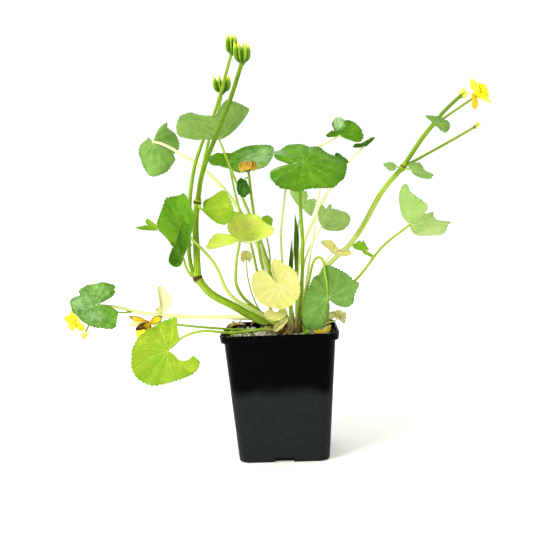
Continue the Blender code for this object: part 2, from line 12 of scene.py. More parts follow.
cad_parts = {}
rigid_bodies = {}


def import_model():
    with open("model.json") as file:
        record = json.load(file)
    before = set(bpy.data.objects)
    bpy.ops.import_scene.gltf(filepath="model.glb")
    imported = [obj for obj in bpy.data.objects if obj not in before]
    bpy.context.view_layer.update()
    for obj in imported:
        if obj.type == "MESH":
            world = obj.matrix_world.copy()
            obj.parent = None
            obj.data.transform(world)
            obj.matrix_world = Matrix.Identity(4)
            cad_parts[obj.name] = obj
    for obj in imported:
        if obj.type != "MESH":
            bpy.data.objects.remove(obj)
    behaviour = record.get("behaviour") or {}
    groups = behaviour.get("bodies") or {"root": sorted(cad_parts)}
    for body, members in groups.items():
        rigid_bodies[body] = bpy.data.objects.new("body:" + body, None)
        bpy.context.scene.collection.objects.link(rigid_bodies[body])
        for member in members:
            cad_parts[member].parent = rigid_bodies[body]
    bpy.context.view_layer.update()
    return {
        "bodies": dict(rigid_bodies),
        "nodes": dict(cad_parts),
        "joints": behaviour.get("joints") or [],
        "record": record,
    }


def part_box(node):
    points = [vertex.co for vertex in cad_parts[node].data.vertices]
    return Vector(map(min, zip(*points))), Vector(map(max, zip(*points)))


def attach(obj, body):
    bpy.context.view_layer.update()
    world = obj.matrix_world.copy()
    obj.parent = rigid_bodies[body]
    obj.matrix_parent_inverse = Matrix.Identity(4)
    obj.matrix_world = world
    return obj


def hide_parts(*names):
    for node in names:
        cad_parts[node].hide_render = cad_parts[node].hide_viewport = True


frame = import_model()

MM = 0.001


# Pot
# The real pot is moulded in one piece from thin black polypropylene: four tapering sides with
# round corners, a turned-out rim and a drain slot low in each side. It is glossy and a little
# dusty, and its lower half is painted greyer as a painted reflection.

POT_LOW, POT_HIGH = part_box("pot")
RIM_WIDTH = POT_HIGH.x - POT_LOW.x
POT_HEIGHT = POT_HIGH.z
FOOT_WIDTH = 69 * MM
SHOULDER_WIDTH = 84 * MM
SHOULDER = POT_HEIGHT - 6 * MM
WALL = 1.4 * MM
CORNER = 9 * MM
DRAIN_SIZE = Vector((14.5, 9, 5.5)) * MM
BLACK = (0.0004, 0.0004, 0.0005)
# The grey of the painted reflection on the pot's lower half
REFLECTION_GREY = (0.019, 0.023, 0.022)


class Wire:
    """A value that varies over a surface. Sums on it add Math nodes to its paint."""

    def __init__(self, paint, socket):
        self.paint = paint
        self.socket = socket

    def maths(self, operation, *terms):
        return self.paint.node("ShaderNodeMath", {"operation": operation}, dict(enumerate(terms)))

    def __add__(self, other):
        return self.maths("ADD", self, other)

    def __radd__(self, other):
        return self.maths("ADD", other, self)

    def __sub__(self, other):
        return self.maths("SUBTRACT", self, other)

    def __rsub__(self, other):
        return self.maths("SUBTRACT", other, self)

    def __mul__(self, other):
        return self.maths("MULTIPLY", self, other)

    def __rmul__(self, other):
        return self.maths("MULTIPLY", other, self)

    def __pow__(self, other):
        return self.maths("POWER", self, other)

    def __abs__(self):
        return self.maths("ABSOLUTE", self)

    def at_least(self, other):
        return self.maths("MAXIMUM", self, other)

    def fraction(self):
        return self.maths("FRACT", self)

    def ramp(self, low, high, to_low=0.0, to_high=1.0):
        """Eases from to_low to to_high as the value goes from low to high."""
        settings = {"interpolation_type": "SMOOTHSTEP"}
        terms = dict(enumerate((self, low, high, to_low, to_high)))
        return self.paint.node("ShaderNodeMapRange", settings, terms)


class Paint:
    """A material in the making. node() adds any node and gives its output back as a Wire."""

    def __init__(self, name, specular):
        self.material = bpy.data.materials.new(name)
        self.material.use_nodes = True
        self.tree = self.material.node_tree
        self.shader = self.tree.nodes["Principled BSDF"]
        self.shader.inputs["Specular IOR Level"].default_value = specular

    def feed(self, node, inputs):
        for name, value in inputs.items():
            if isinstance(value, Wire):
                self.tree.links.new(value.socket, node.inputs[name])
            else:
                node.inputs[name].default_value = value

    def node(self, kind, settings=None, inputs=None, output=0):
        made = self.tree.nodes.new(kind)
        for name, value in (settings or {}).items():
            setattr(made, name, value)
        self.feed(made, inputs or {})
        if isinstance(output, tuple):
            return [Wire(self, made.outputs[name]) for name in output]
        return Wire(self, made.outputs[output])

    def place(self):
        return self.node("ShaderNodeTexCoord", output="Object")

    def attribute(self, name, output="Fac"):
        return self.node("ShaderNodeAttribute", {"attribute_name": name}, output=output)

    def stretch(self, vector, x, y, z):
        settings = {"operation": "MULTIPLY"}
        return self.node("ShaderNodeVectorMath", settings, {0: vector, 1: (x, y, z)})

    def noise(self, vector, scale, detail=3, roughness=0.55):
        inputs = {"Vector": vector, "Scale": scale, "Detail": detail, "Roughness": roughness}
        return self.node("ShaderNodeTexNoise", None, inputs)

    def mix(self, factor, first, second):
        """A colour between first and second."""
        ends = [c if isinstance(c, Wire) else (*c, 1) for c in (first, second)]
        return self.node("ShaderNodeMix", {"data_type": "RGBA"}, {0: factor, 6: ends[0], 7: ends[1]}, 2)

    def tint(self, stops, value):
        """The colour at a value along stops, each of them a value and its colour."""
        colour = self.node("ShaderNodeValToRGB", None, {0: value}, "Color")
        elements = colour.socket.node.color_ramp.elements
        elements[0].position, elements[0].color = stops[0][0], (*stops[0][1], 1)
        elements[1].position, elements[1].color = stops[-1][0], (*stops[-1][1], 1)
        for place, shade in stops[1:-1]:
            elements.new(place).color = (*shade, 1)
        return colour

    def bump(self, height, distance, strength):
        inputs = {"Height": height, "Distance": distance, "Strength": strength}
        return self.node("ShaderNodeBump", None, inputs)

    def finish(self, **inputs):
        """Feeds the shader, whose sockets are named here with _ for a space."""
        self.feed(self.shader, {name.replace("_", " "): value for name, value in inputs.items()})
        return self.material


def mesh_from(name, bm):
    """A mesh of what the bmesh holds, which is then freed."""
    mesh = bpy.data.meshes.new(name)
    bm.to_mesh(mesh)
    bm.free()
    return mesh


def placed(name, data):
    """An object for the data, put in the scene."""
    made = bpy.data.objects.new(name, data)
    bpy.context.scene.collection.objects.link(made)
    return made


def finished(name, mesh, paints, nodes):
    """An object for a finished mesh, which rides with the part and stands for solids of it."""
    made = placed(name, mesh)
    mesh.materials.clear()
    for paint in paints:
        mesh.materials.append(paint)
    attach(made, "root")
    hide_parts(*nodes)
    return made


def piece(name, bm, paints, nodes, sharp):
    """A smooth piece of a bmesh, with creases where it turns by more than sharp degrees."""
    mesh = mesh_from(name, bm)
    mesh.shade_smooth()
    mesh.set_sharp_from_angle(angle=math.radians(sharp))
    return finished(name, mesh, paints, nodes)


def rounded_square(bm, width, corner, height):
    """The edges of a square face with round corners, level at height."""
    face = bmesh.ops.create_grid(bm, x_segments=1, y_segments=1, size=width / 2)["verts"]
    bmesh.ops.bevel(bm, geom=face, offset=corner, affect="VERTICES", segments=10, profile=0.5, material=-1)
    bmesh.ops.translate(bm, verts=bm.verts, vec=(0, 0, height))
    return list(bm.edges)


def raise_square(bm, edges, before, width, rise):
    """Draws the open rim of the shape on to another width, rise higher."""
    grown = bmesh.ops.extrude_edge_only(bm, edges=edges)["geom"]
    verts = [part for part in grown if isinstance(part, bmesh.types.BMVert)]
    share = width / before
    bmesh.ops.scale(bm, verts=verts, vec=(share, share, 1))
    bmesh.ops.translate(bm, verts=verts, vec=(0, 0, rise))
    found = set(verts)
    return [part for part in grown if isinstance(part, bmesh.types.BMEdge) and found.issuperset(part.verts)]


def pot_shell():
    """Up the outside, round the rim's lip and down the inside to the floor."""
    inner_rim = RIM_WIDTH - 2 * WALL
    inner_foot = FOOT_WIDTH - 2 * WALL
    profile = [
        (FOOT_WIDTH - 2.6 * MM, 0), (FOOT_WIDTH - 1 * MM, 0.5 * MM), (FOOT_WIDTH, 1.6 * MM),
        (SHOULDER_WIDTH - 0.3 * MM, SHOULDER - 1.2 * MM), (SHOULDER_WIDTH + 0.4 * MM, SHOULDER - 0.3 * MM),
        (RIM_WIDTH - 3 * MM, SHOULDER), (RIM_WIDTH - 1.8 * MM, SHOULDER + 0.4 * MM),
        (RIM_WIDTH - 1.2 * MM, SHOULDER + 1.4 * MM), (RIM_WIDTH - 0.4 * MM, POT_HEIGHT - 1.2 * MM),
        (RIM_WIDTH, POT_HEIGHT - 0.7 * MM), (RIM_WIDTH - 0.4 * MM, POT_HEIGHT - 0.1 * MM),
        (RIM_WIDTH - 1.4 * MM, POT_HEIGHT), (inner_rim, POT_HEIGHT - 0.5 * MM),
        (inner_rim - 1.2 * MM, SHOULDER + 1 * MM), (SHOULDER_WIDTH - 2 * WALL, SHOULDER - 1 * MM),
        (inner_foot, 3 * WALL), (inner_foot - 5 * MM, 2 * WALL),
    ]
    bm = bmesh.new()
    width, height = profile[0]
    rim = rounded_square(bm, width, CORNER - 1.3 * MM, height)
    for wider, higher in profile[1:]:
        rim = raise_square(bm, rim, width, wider, higher - height)
        width, height = wider, higher
    bmesh.ops.edgeloop_fill(bm, edges=rim)
    bmesh.ops.recalc_face_normals(bm, faces=bm.faces)
    return bm


def drain_cutter(turn):
    bm = bmesh.new()
    bmesh.ops.create_cube(bm, size=1)
    bmesh.ops.scale(bm, verts=bm.verts, vec=DRAIN_SIZE)
    bmesh.ops.translate(bm, verts=bm.verts, vec=(0, -FOOT_WIDTH / 2, DRAIN_SIZE.z / 2 - 2 * MM))
    upright = [e for e in bm.edges if abs(e.verts[0].co.y - e.verts[1].co.y) > MM]
    top = [e for e in upright if e.verts[0].co.z > 0]
    bmesh.ops.bevel(bm, geom=top, offset=1.2 * MM, affect="EDGES", segments=3, profile=0.5, material=-1)
    bmesh.ops.rotate(bm, verts=bm.verts, matrix=Matrix.Rotation(turn, 3, "Z"))
    return placed("drain_cutter", mesh_from("drain_cutter", bm))


def pot_mesh():
    """The shell with its four drain slots cut out."""
    shell = placed("pot_shell", mesh_from("pot_shell", pot_shell()))
    cutters = [drain_cutter(quarter * math.pi / 2) for quarter in range(4)]
    for cutter in cutters:
        step = shell.modifiers.new("drain", "BOOLEAN")
        step.object = cutter
        step.operation = "DIFFERENCE"
    bpy.context.view_layer.update()
    cut = bpy.data.meshes.new_from_object(shell.evaluated_get(bpy.context.evaluated_depsgraph_get()))
    for spent in [shell, *cutters]:
        bpy.data.objects.remove(spent)
    cut.shade_smooth()
    cut.set_sharp_from_angle(angle=math.radians(28))
    return cut


def pot_paint():
    paint = Paint("pot plastic", 0.03)
    place = paint.place()
    x, y, height = paint.node("ShaderNodeSeparateXYZ", None, {0: place}, ("X", "Y", "Z"))
    cloud = paint.noise(place, 38, 4)
    # The lower half is painted grey as a painted reflection, made patchy by dust; the specks are dust.
    edge = height + (cloud - 0.5) * 0.014 + (x * x + y * y - 0.0025) * 2.4
    painted_reflection = 1 - edge.ramp(0.047, 0.058)
    dust = paint.noise(place, 260, 5).ramp(0.45, 0.75)
    speck = paint.noise(place, 1500, 2).ramp(0.68, 0.76)
    colour = paint.mix(painted_reflection * (0.75 + 0.25 * dust), BLACK, REFLECTION_GREY)
    colour = paint.mix(speck * (painted_reflection * 0.25 + 0.05), colour, (0.12, 0.12, 0.11))
    rough = 0.2 + painted_reflection * 0.16 + dust * 0.06
    streak = paint.noise(paint.stretch(place, 40, 40, 9), 9, 3)
    dent = streak * 0.3 + paint.noise(place, 1200, 3) * 0.1
    return paint.finish(Base_Color=colour, Roughness=rough, Normal=paint.bump(dent, 0.0004, 0.35))


finished("pot_moulding", pot_mesh(), [pot_paint()], ["pot"])


# Compost and grit
# The root ball is dark peat and bark crumb that fills the pot to just under the rim. A layer of
# pale crushed grit lies loose on it, mostly cream and grey, with a few dark stones.

COMPOST_LOW, COMPOST_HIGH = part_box("compost")
BED_WIDTH = COMPOST_HIGH.x - COMPOST_LOW.x
BED_CELL = 2.2 * MM
CROWN_LOW, CROWN_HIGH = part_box("crown")
CROWN_CENTRE = (CROWN_LOW + CROWN_HIGH) / 2
CROWN_HALF = (CROWN_HIGH - CROWN_LOW) / 2
GRIT_COUNT = 520
CRUMB_COUNT = 700
STONE_POINTS = 13
STONE_HALF = (0.6, 0.5, 0.36)


def inside_width(height):
    """How wide the pot is inside, at a height."""
    return FOOT_WIDTH + (SHOULDER_WIDTH - FOOT_WIDTH) * height / SHOULDER - 2 * WALL


def bed_height(x, y):
    """The uneven top of the compost."""
    rolling = noise.noise(Vector((x, y, 0)) * 90) * 0.8 * MM
    crumbly = noise.noise(Vector((x, y, 3)) * 420) * 0.5 * MM
    return COMPOST_HIGH.z - 0.6 * MM + rolling + crumbly


def compost_bed():
    bm = bmesh.new()
    low = inside_width(COMPOST_LOW.z) - MM
    edges = rounded_square(bm, low, CORNER - WALL, COMPOST_LOW.z)
    raise_square(bm, edges, low, BED_WIDTH, COMPOST_HIGH.z - COMPOST_LOW.z)
    top = [e for e in bm.edges if min(v.co.z for v in e.verts) > COMPOST_HIGH.z - MM]
    bmesh.ops.edgeloop_fill(bm, edges=top)
    bmesh.ops.recalc_face_normals(bm, faces=bm.faces)
    cuts = int(BED_WIDTH / BED_CELL)
    for axis in (Vector((1, 0, 0)), Vector((0, 1, 0))):
        for cut in range(1, cuts):
            place = axis * (cut / cuts - 0.5) * BED_WIDTH
            top = [f for f in bm.faces if f.normal.z > 0.9]
            geom = top + list({e for f in top for e in f.edges}) + list({v for f in top for v in f.verts})
            bmesh.ops.bisect_plane(bm, geom=geom, plane_co=place, plane_no=axis)
    for vert in bm.verts:
        if vert.co.z > COMPOST_HIGH.z - MM:
            vert.co.z = bed_height(vert.co.x, vert.co.y)
    return bm


def stone(bm, draw, size, place, tone):
    """One broken stone: the hull of a few points on a squashed ball."""
    layer = bm.verts.layers.float["tone"]
    points = []
    for _ in range(STONE_POINTS):
        out = Vector((draw.gauss(0, 1), draw.gauss(0, 1), draw.gauss(0, 1))).normalized()
        out *= draw.uniform(0.75, 1)
        points.append(bm.verts.new([value * size * half for value, half in zip(out, STONE_HALF)]))
    bmesh.ops.convex_hull(bm, input=points, use_existing_faces=False)
    for loose in [v for v in points if not v.link_faces]:
        points.remove(loose)
        bm.verts.remove(loose)
    spin = Matrix.Rotation(draw.uniform(0, math.tau), 4, "Z")
    tip = Matrix.Rotation(draw.gauss(0, 0.35), 4, "X")
    bmesh.ops.transform(bm, verts=points, matrix=Matrix.Translation(place) @ tip @ spin)
    for vert in points:
        vert[layer] = tone


def clear_ground(x, y, edge):
    """Whether a place on the bed is off the crown and at least edge inside the pot's wall."""
    across = (x - CROWN_CENTRE.x) / CROWN_HALF.x
    along = (y - CROWN_CENTRE.y) / CROWN_HALF.y
    inner = BED_WIDTH / 2 - CORNER
    over = Vector((max(abs(x) - inner, 0), max(abs(y) - inner, 0)))
    return across**2 + along**2 > 0.5 and over.length < CORNER - edge


def scattered(count, smallest, largest, seed, sink):
    """Loose pieces strewn over the bed."""
    draw = random.Random(seed)
    bm = bmesh.new()
    bm.verts.layers.float.new("tone")
    made = 0
    while made < count:
        x, y = (draw.uniform(-0.5, 0.5) * BED_WIDTH for _ in range(2))
        size = draw.uniform(smallest, largest) * draw.uniform(0.7, 1)
        if clear_ground(x, y, size * 0.5):
            height = bed_height(x, y) + size * sink + draw.uniform(0, 0.8) * MM
            stone(bm, draw, size, (x, y, height), draw.random())
            made += 1
    return bm


def compost_paint():
    paint = Paint("wet compost", 0.35)
    place = paint.place()
    crumb = paint.noise(place, 900, 5, 0.65)
    patch = paint.noise(place, 130, 3)
    colour = paint.mix(crumb.ramp(0.35, 0.7), (0.006, 0.004, 0.003), (0.045, 0.028, 0.016))
    colour = paint.mix(patch.ramp(0.5, 0.75) * 0.5, colour, (0.09, 0.06, 0.035))
    return paint.finish(Base_Color=colour, Roughness=crumb.ramp(0.3, 0.7, 0.95, 0.6),
                        Normal=paint.bump(crumb, 0.0012, 0.8))


def grit_paint():
    paint = Paint("crushed grit", 0.35)
    place = paint.place()
    tone = paint.attribute("tone")
    stops = [(0.0, (0.02, 0.018, 0.014)), (0.2, (0.10, 0.09, 0.07)), (0.3, (0.40, 0.39, 0.22)),
             (0.55, (0.66, 0.66, 0.42)), (0.8, (0.84, 0.83, 0.66)), (1.0, (0.92, 0.91, 0.82))]
    colour = paint.tint(stops, tone)
    dirt = paint.noise(place, 420, 5, 0.65).ramp(0.45, 0.72)
    colour = paint.mix(dirt * 0.45, colour, (0.06, 0.055, 0.03))
    grain = paint.noise(place, 2600, 3)
    return paint.finish(Base_Color=colour, Roughness=grain.ramp(0.2, 0.8, 0.6, 0.95),
                        Normal=paint.bump(grain, 0.0003, 0.6))


def crumb_paint():
    paint = Paint("bark crumb", 0.3)
    tone = paint.attribute("tone")
    stops = [(0.0, (0.006, 0.004, 0.003)), (0.6, (0.05, 0.03, 0.015)), (1.0, (0.16, 0.10, 0.05))]
    colour = paint.tint(stops, tone)
    fibre = paint.noise(paint.place(), 1800, 4)
    colour = paint.mix(fibre.ramp(0.4, 0.7) * 0.5, colour, (0.01, 0.008, 0.006))
    return paint.finish(Base_Color=colour, Roughness=fibre.ramp(0.2, 0.8, 0.7, 0.95),
                        Normal=paint.bump(fibre, 0.0004, 0.6))


piece("compost_bed", compost_bed(), [compost_paint()], ["compost"], 60)
piece("bark_crumb", scattered(CRUMB_COUNT, 1.2 * MM, 3.2 * MM, 5, 0.1), [crumb_paint()],
      ["compost"], 25)
piece("grit", scattered(GRIT_COUNT, 3.0 * MM, 7.0 * MM, 8, 0.55), [grit_paint()], ["compost"], 25)


# Flower stems
# Thick hollow stems, furrowed lengthwise, that lean out from the crown and fork at swollen
# joints, which have gone brown. They are fresh green, and pale yellow is painted on them
# as a painted highlight where bright light blows them out.

HANDLE = 2.5614
ROOTED_BELOW = 99
ROOT_DEPTH = 5
STALK_TAPER = 0.7
STALK_TONES = (0.6, 0.52, 0.5)
THICK_STEM = 1.7
# The pale top of these tones also serves as a painted highlight, where bright light blows a stem out
STEM_TONES = [
    (0.0, (0.03, 0.10, 0.001)), (0.25, (0.12, 0.24, 0.003)), (0.5, (0.33, 0.50, 0.022)),
    (0.75, (0.62, 0.74, 0.20)), (1.0, (0.93, 0.94, 0.48)),
]


def smooth_route(route, steps):
    """Points of the smooth curve through a route in mm, with steps points to each span."""
    knots = [Vector(point) * MM for point in route]
    ends = [2 * knots[0] - knots[1], *knots, 2 * knots[-1] - knots[-2]]
    points = []
    for i in range(1, len(knots)):
        chord = (ends[i + 1] - ends[i]).length / HANDLE
        before, here, after = ((ends[k + 1] - ends[k]).normalized() for k in (i - 1, i, i + 1))
        leave = (before + here).normalized()
        arrive = (here + after).normalized()
        span = interpolate_bezier(ends[i], ends[i] + leave * chord, ends[i + 1] - arrive * chord,
                                  ends[i + 1], steps + 1)
        points += span[:-1]
    return [*points, knots[-1]]


def rooted(route):
    """A route that starts at the crown, led down into it."""
    x, y, z = route[0]
    return [(x, y, z - ROOT_DEPTH), *route] if z < ROOTED_BELOW else route


def read_off(values, share):
    """The value at a share of the way through an evenly spaced list."""
    place = share * (len(values) - 1)
    low = max(min(int(place), len(values) - 2), 0)
    return values[low] + (values[min(low + 1, len(values) - 1)] - values[low]) * (place - low)


def growing_mesh():
    """A bmesh whose points know their place in the grain, their tone and how brown they are."""
    bm = bmesh.new()
    bm.verts.layers.float_vector.new("grain")
    bm.verts.layers.float.new("tone")
    bm.verts.layers.float.new("rust")
    return bm


def marks(bm):
    """The layers of a growing mesh: place in the grain, tone and how brown."""
    shades = bm.verts.layers.float
    return bm.verts.layers.float_vector["grain"], shades["tone"], shades["rust"]


def tube(bm, points, radii, tones, rust=(0,), sides=16, ribs=0, groove=0.0, flat=1.0, start=None):
    """Draws a tube along points. radii, in mm, tones and rust are read off along its length."""
    grain, tone, brown = marks(bm)
    ring = bmesh.ops.create_circle(bm, cap_ends=True, segments=sides, radius=1)["verts"]
    for vert in ring:
        vert[grain] = vert.co.copy()
        vert.co *= 1 + groove * math.cos(ribs * math.atan2(vert.co.y, vert.co.x))
    edges = list({e for v in ring for e in v.link_edges})
    way = (points[1] - points[0]).normalized()
    turn = way.to_track_quat("Z", "Y") if start is None else start
    before = Matrix.Identity(4)
    length = 0
    for i, point in enumerate(points):
        if i:
            grown = bmesh.ops.extrude_edge_only(bm, edges=edges)["geom"]
            ring = [part for part in grown if isinstance(part, bmesh.types.BMVert)]
            found = set(ring)
            edges = [e for e in grown if isinstance(e, bmesh.types.BMEdge) and found.issuperset(e.verts)]
            ahead = points[min(i + 1, len(points) - 1)] - points[i - 1]
            turn = way.rotation_difference(ahead) @ turn
            way = ahead.normalized()
            length += (point - points[i - 1]).length
        share = i / (len(points) - 1)
        radius = read_off(radii, share) * MM
        size = Matrix.Diagonal((radius, radius * flat, radius, 1))
        here = Matrix.Translation(point) @ turn.to_matrix().to_4x4() @ size
        bmesh.ops.transform(bm, verts=ring, matrix=here @ before.inverted())
        before = here
        for vert in ring:
            vert[grain].z = length / MM
            vert[tone] = read_off(tones, share)
            vert[brown] = read_off(rust, share)
    bmesh.ops.edgeloop_fill(bm, edges=edges)


def stem_paint():
    paint = Paint("stem", 0.12)
    grain = paint.attribute("grain", "Vector")
    streak = paint.noise(paint.stretch(grain, 3.2, 3.2, 0.045), 1, 4)
    blotch = paint.noise(paint.place(), 160, 3)
    tone = paint.attribute("tone") + (streak - 0.5) * 0.85 + (blotch - 0.5) * 0.2
    colour = paint.tint(STEM_TONES, tone)
    patches = paint.noise(paint.place(), 500, 4) - 0.5
    rust = (paint.attribute("rust") + patches).ramp(0.3, 0.6)
    brown = paint.mix(patches.ramp(-0.2, 0.2), (0.02, 0.011, 0.004), (0.15, 0.08, 0.015))
    colour = paint.mix(rust, colour, brown)
    return paint.finish(Base_Color=colour, Roughness=streak.ramp(0.2, 0.8, 0.5, 0.34),
                        Normal=paint.bump(streak, 0.0006, 0.5))


STEM_PAINT = stem_paint()


def grown(name, bm, node, paint=STEM_PAINT, slot="stem", sharp=60):
    """A piece of tubes for one node, with its faces turned outwards."""
    bmesh.ops.recalc_face_normals(bm, faces=bm.faces)
    return piece(name, bm, [paint], [node], sharp)


def strand(name, node, points, radii, tones, **form):
    """A piece of one tube for a node. form holds what else the tube takes."""
    bm = growing_mesh()
    tube(bm, points, radii, tones, **form)
    grown(name, bm, node)


# Each stem: its route and radii in mm, then its tones along it
STEMS = {
    "flower_stem_left_lower": (
        [(-3, -7, 98), (-18, -12, 107), (-35, -17, 118), (-52, -21, 129), (-61, -23, 140.5)],
        [3.2, 3.1, 3.0, 2.8], [0.65, 0.55, 0.45, 0.42, 0.45]),
    "flower_stem_left_middle": (
        [(-61, -23, 140.5), (-61, -22, 162), (-61, -20, 184), (-59, -20, 198.5)],
        [2.8, 2.3, 2.2], [0.4, 0.3, 0.35]),
    "flower_stem_left_tall": (
        [(-61.5, -22, 140), (-65.5, -18, 146), (-67, -12, 184), (-63, -2, 225), (-56, 6, 248),
         (-45, 4, 271), (-30, 4, 315)],
        [1.7, 1.5, 1.3, 1.2], [0.35, 0.35, 0.4, 0.5, 0.4]),
    "flower_stem_left_front": (
        [(-58.8, -20.5, 198.5), (-53, -29, 220), (-41, -34, 246.5), (-29.5, -34, 272), (-19.7, -32, 299)],
        [1.8, 1.6, 1.5], [0.3, 0.3, 0.22, 0.22, 0.32]),
    "flower_stem_left_back": (
        [(-58.5, -19, 198.5), (-55, -4, 228), (-51.5, 7, 247.5), (-44.8, 13, 267), (-39.7, 14, 287)],
        [1.4, 1.1, 1.1], [0.35, 0.45, 0.5]),
    # The pale middle of this stem's tones is a painted highlight.
    "flower_stem_right_lower": (
        [(14, 3, 98), (25, 3, 124), (38, 0, 144), (60, -5, 165), (85, -10, 204), (99, -12.1, 219)],
        [2.3, 2.2, 2.0, 1.8], [0.55, 0.85, 0.9, 0.75, 0.55, 0.42]),
    "flower_stem_right_upper": (
        [(99, -12.1, 219), (114, -14, 240), (124, -15.2, 251.7)], [1.8, 1.6], [0.3, 0.4]),
    "flower_stem_right_tip": (
        [(123.5, -15.2, 251.2), (131, -17, 259.5), (141.6, -18, 268.8)], [1.5, 1.3], [0.3, 0.3]),
    "flower_stem_right_flower": (
        [(124, -14.9, 251.2), (129, -12.5, 253.6), (141, -8, 261), (158, -4, 271.6)],
        [1.1, 0.9, 0.9], [0.35, 0.45]),
    "flower_stem_right_side": (
        [(99.5, -11.5, 219.3), (112, -6, 225.5), (134, 0, 236.5), (156.6, 6, 248.3)],
        [1.2, 1.0, 1.0], [0.35, 0.45]),
    "trailing_stem": (
        [(-1, 17, 97.5), (-16, 22, 102.5), (-43, 33, 104), (-66, 36, 104.5), (-98.5, 34, 107)],
        [2.1, 2.2, 2.0], [0.7, 1.0, 1.05, 0.95]),
    "withered_flower_stalk": (
        [(1, -14, 96.6), (-22, -15, 98.4), (-47, -14, 100.6), (-72, -13, 103.5), (-95, -10, 107)],
        [1.2, 1.0, 0.9], [0.5, 0.4, 0.35, 0.5]),
    "spent_flower_stalk": (
        [(9, 2, 96), (-3, 0, 121), (-12, -2, 146), (-15, -3, 171), (-18, -5, 199), (-19.6, -6, 221)],
        [1.4, 1.2, 1.0], [0.6, 0.55, 0.4]),
}
# Each joint: the stem that it ends, its route and radii in mm, how brown it is and its tone
JOINTS = {
    "joint_left_low": ("flower_stem_left_lower",
                       [(-58, -22.3, 136.5), (-61, -22.7, 141), (-61.8, -22.4, 146)],
                       [2.7, 3.3, 3.7, 3.3, 2.6], 1.0, 0.45),
    "joint_left_high": ("flower_stem_left_middle",
                        [(-59.6, -20.2, 195), (-58.9, -20.4, 198.7), (-57.6, -21.4, 202.5)],
                        [2.1, 2.6, 3.0, 2.6, 1.9], 0.9, 0.45),
    "joint_right_fork": ("flower_stem_right_lower",
                         [(96.8, -11.8, 216.3), (99.2, -12.2, 219.3), (101.6, -12.5, 222.8)],
                         [1.8, 2.3, 2.7, 2.3, 1.7], 0.6, 0.45),
    "joint_right_top": ("flower_stem_right_upper",
                        [(121.7, -14.9, 249), (124, -15.1, 251.6), (126.4, -15.4, 254)],
                        [1.5, 1.8, 2.1, 1.8, 1.4], 0.3, 0.45),
    "joint_trailing": ("trailing_stem",
                       [(-95, 34.2, 106.7), (-99, 33.9, 107.3), (-103, 33.4, 108)],
                       [2.0, 2.3, 2.6, 2.3, 1.9], 0.1, 0.95),
}

for name, (route, radii, tones) in STEMS.items():
    line = smooth_route(rooted(route), 12)
    sides, ribs = (40, 10) if max(radii) > THICK_STEM else (24, 7)
    strand(name + "_skin", name, line, radii, tones, sides=sides, ribs=ribs, groove=0.05)
for name, (node, route, radii, rust, tone) in JOINTS.items():
    brown = (0, 0, rust, 0, 0)
    strand(name, node, smooth_route(route, 6), radii, (tone,), rust=brown, sides=32, ribs=9, groove=0.07)


# Young shoots
# Two rolled young leaves that stand between the stalks, dark green spears on pale stalks.

SPEARS = {
    "spear_tall": (
        [(13, -2.5, 96), (14, 5, 130), (15, 8, 161), (15.5, 8, 174), (15, 8, 188)],
        [1.3, 1.3, 1.3, 1.3, 1.4, 2.1, 2.0, 1.1, 0.15]),
    "spear_short": (
        [(8, -4, 96), (9, 3, 130), (10.5, 4, 152), (12, 4, 168)],
        [1.2, 1.2, 1.2, 1.3, 1.9, 1.7, 0.9, 0.15]),
}
SPEAR_TONES = [0.7, 0.65, 0.6, 0.5, 0.1, 0.0, 0.05, 0.3]

for name, (route, radii) in SPEARS.items():
    line = smooth_route(rooted(route), 14)
    strand(name + "_skin", name, line, radii, SPEAR_TONES, sides=18, ribs=3, groove=0.12)


# Leaves
# Kidney-shaped blades, each on its own grooved stalk that joins it in a deep notch. Veins fan
# out from there and fork towards a margin of small round teeth. The upper face is glossy and
# green, lime or cream as it ages, and the underside is paler, duller and grey.

RAYS = 11
BLADE_THICKNESS = 0.5 * MM
CREASE = 0.35
# The teeth are measured in mm and the hook in radians
TOOTH_PITCH = 3.6
TOOTH_DEPTH = 1.3
STEPS_PER_TOOTH = 5
MARGIN_WANDER = 0.03
RUFFLES = 5
TILT = 0.08
FURROW = 0.004
HOOK_START = 1.8
HOOK_SPAN = 0.8
BLADE_RINGS = 16
RING_CROWDING = 1.35
LEAST_STEPS = 60
UPPER_TONES = [
    (0.0, (0.015, 0.09, 0.0005)), (0.2, (0.08, 0.24, 0.002)), (0.4, (0.20, 0.44, 0.010)),
    (0.5, (0.27, 0.41, 0.014)), (0.6, (0.42, 0.60, 0.03)), (0.72, (0.68, 0.82, 0.10)),
    (0.84, (0.62, 0.60, 0.15)), (0.93, (0.68, 0.65, 0.21)), (1.0, (0.92, 0.92, 0.50)),
]
UNDER_TONES = [
    (0.0, (0.07, 0.19, 0.02)), (0.2, (0.17, 0.33, 0.055)), (0.4, (0.32, 0.50, 0.12)),
    (0.6, (0.52, 0.70, 0.22)), (0.8, (0.72, 0.80, 0.32)), (1.0, (0.88, 0.86, 0.42)),
]


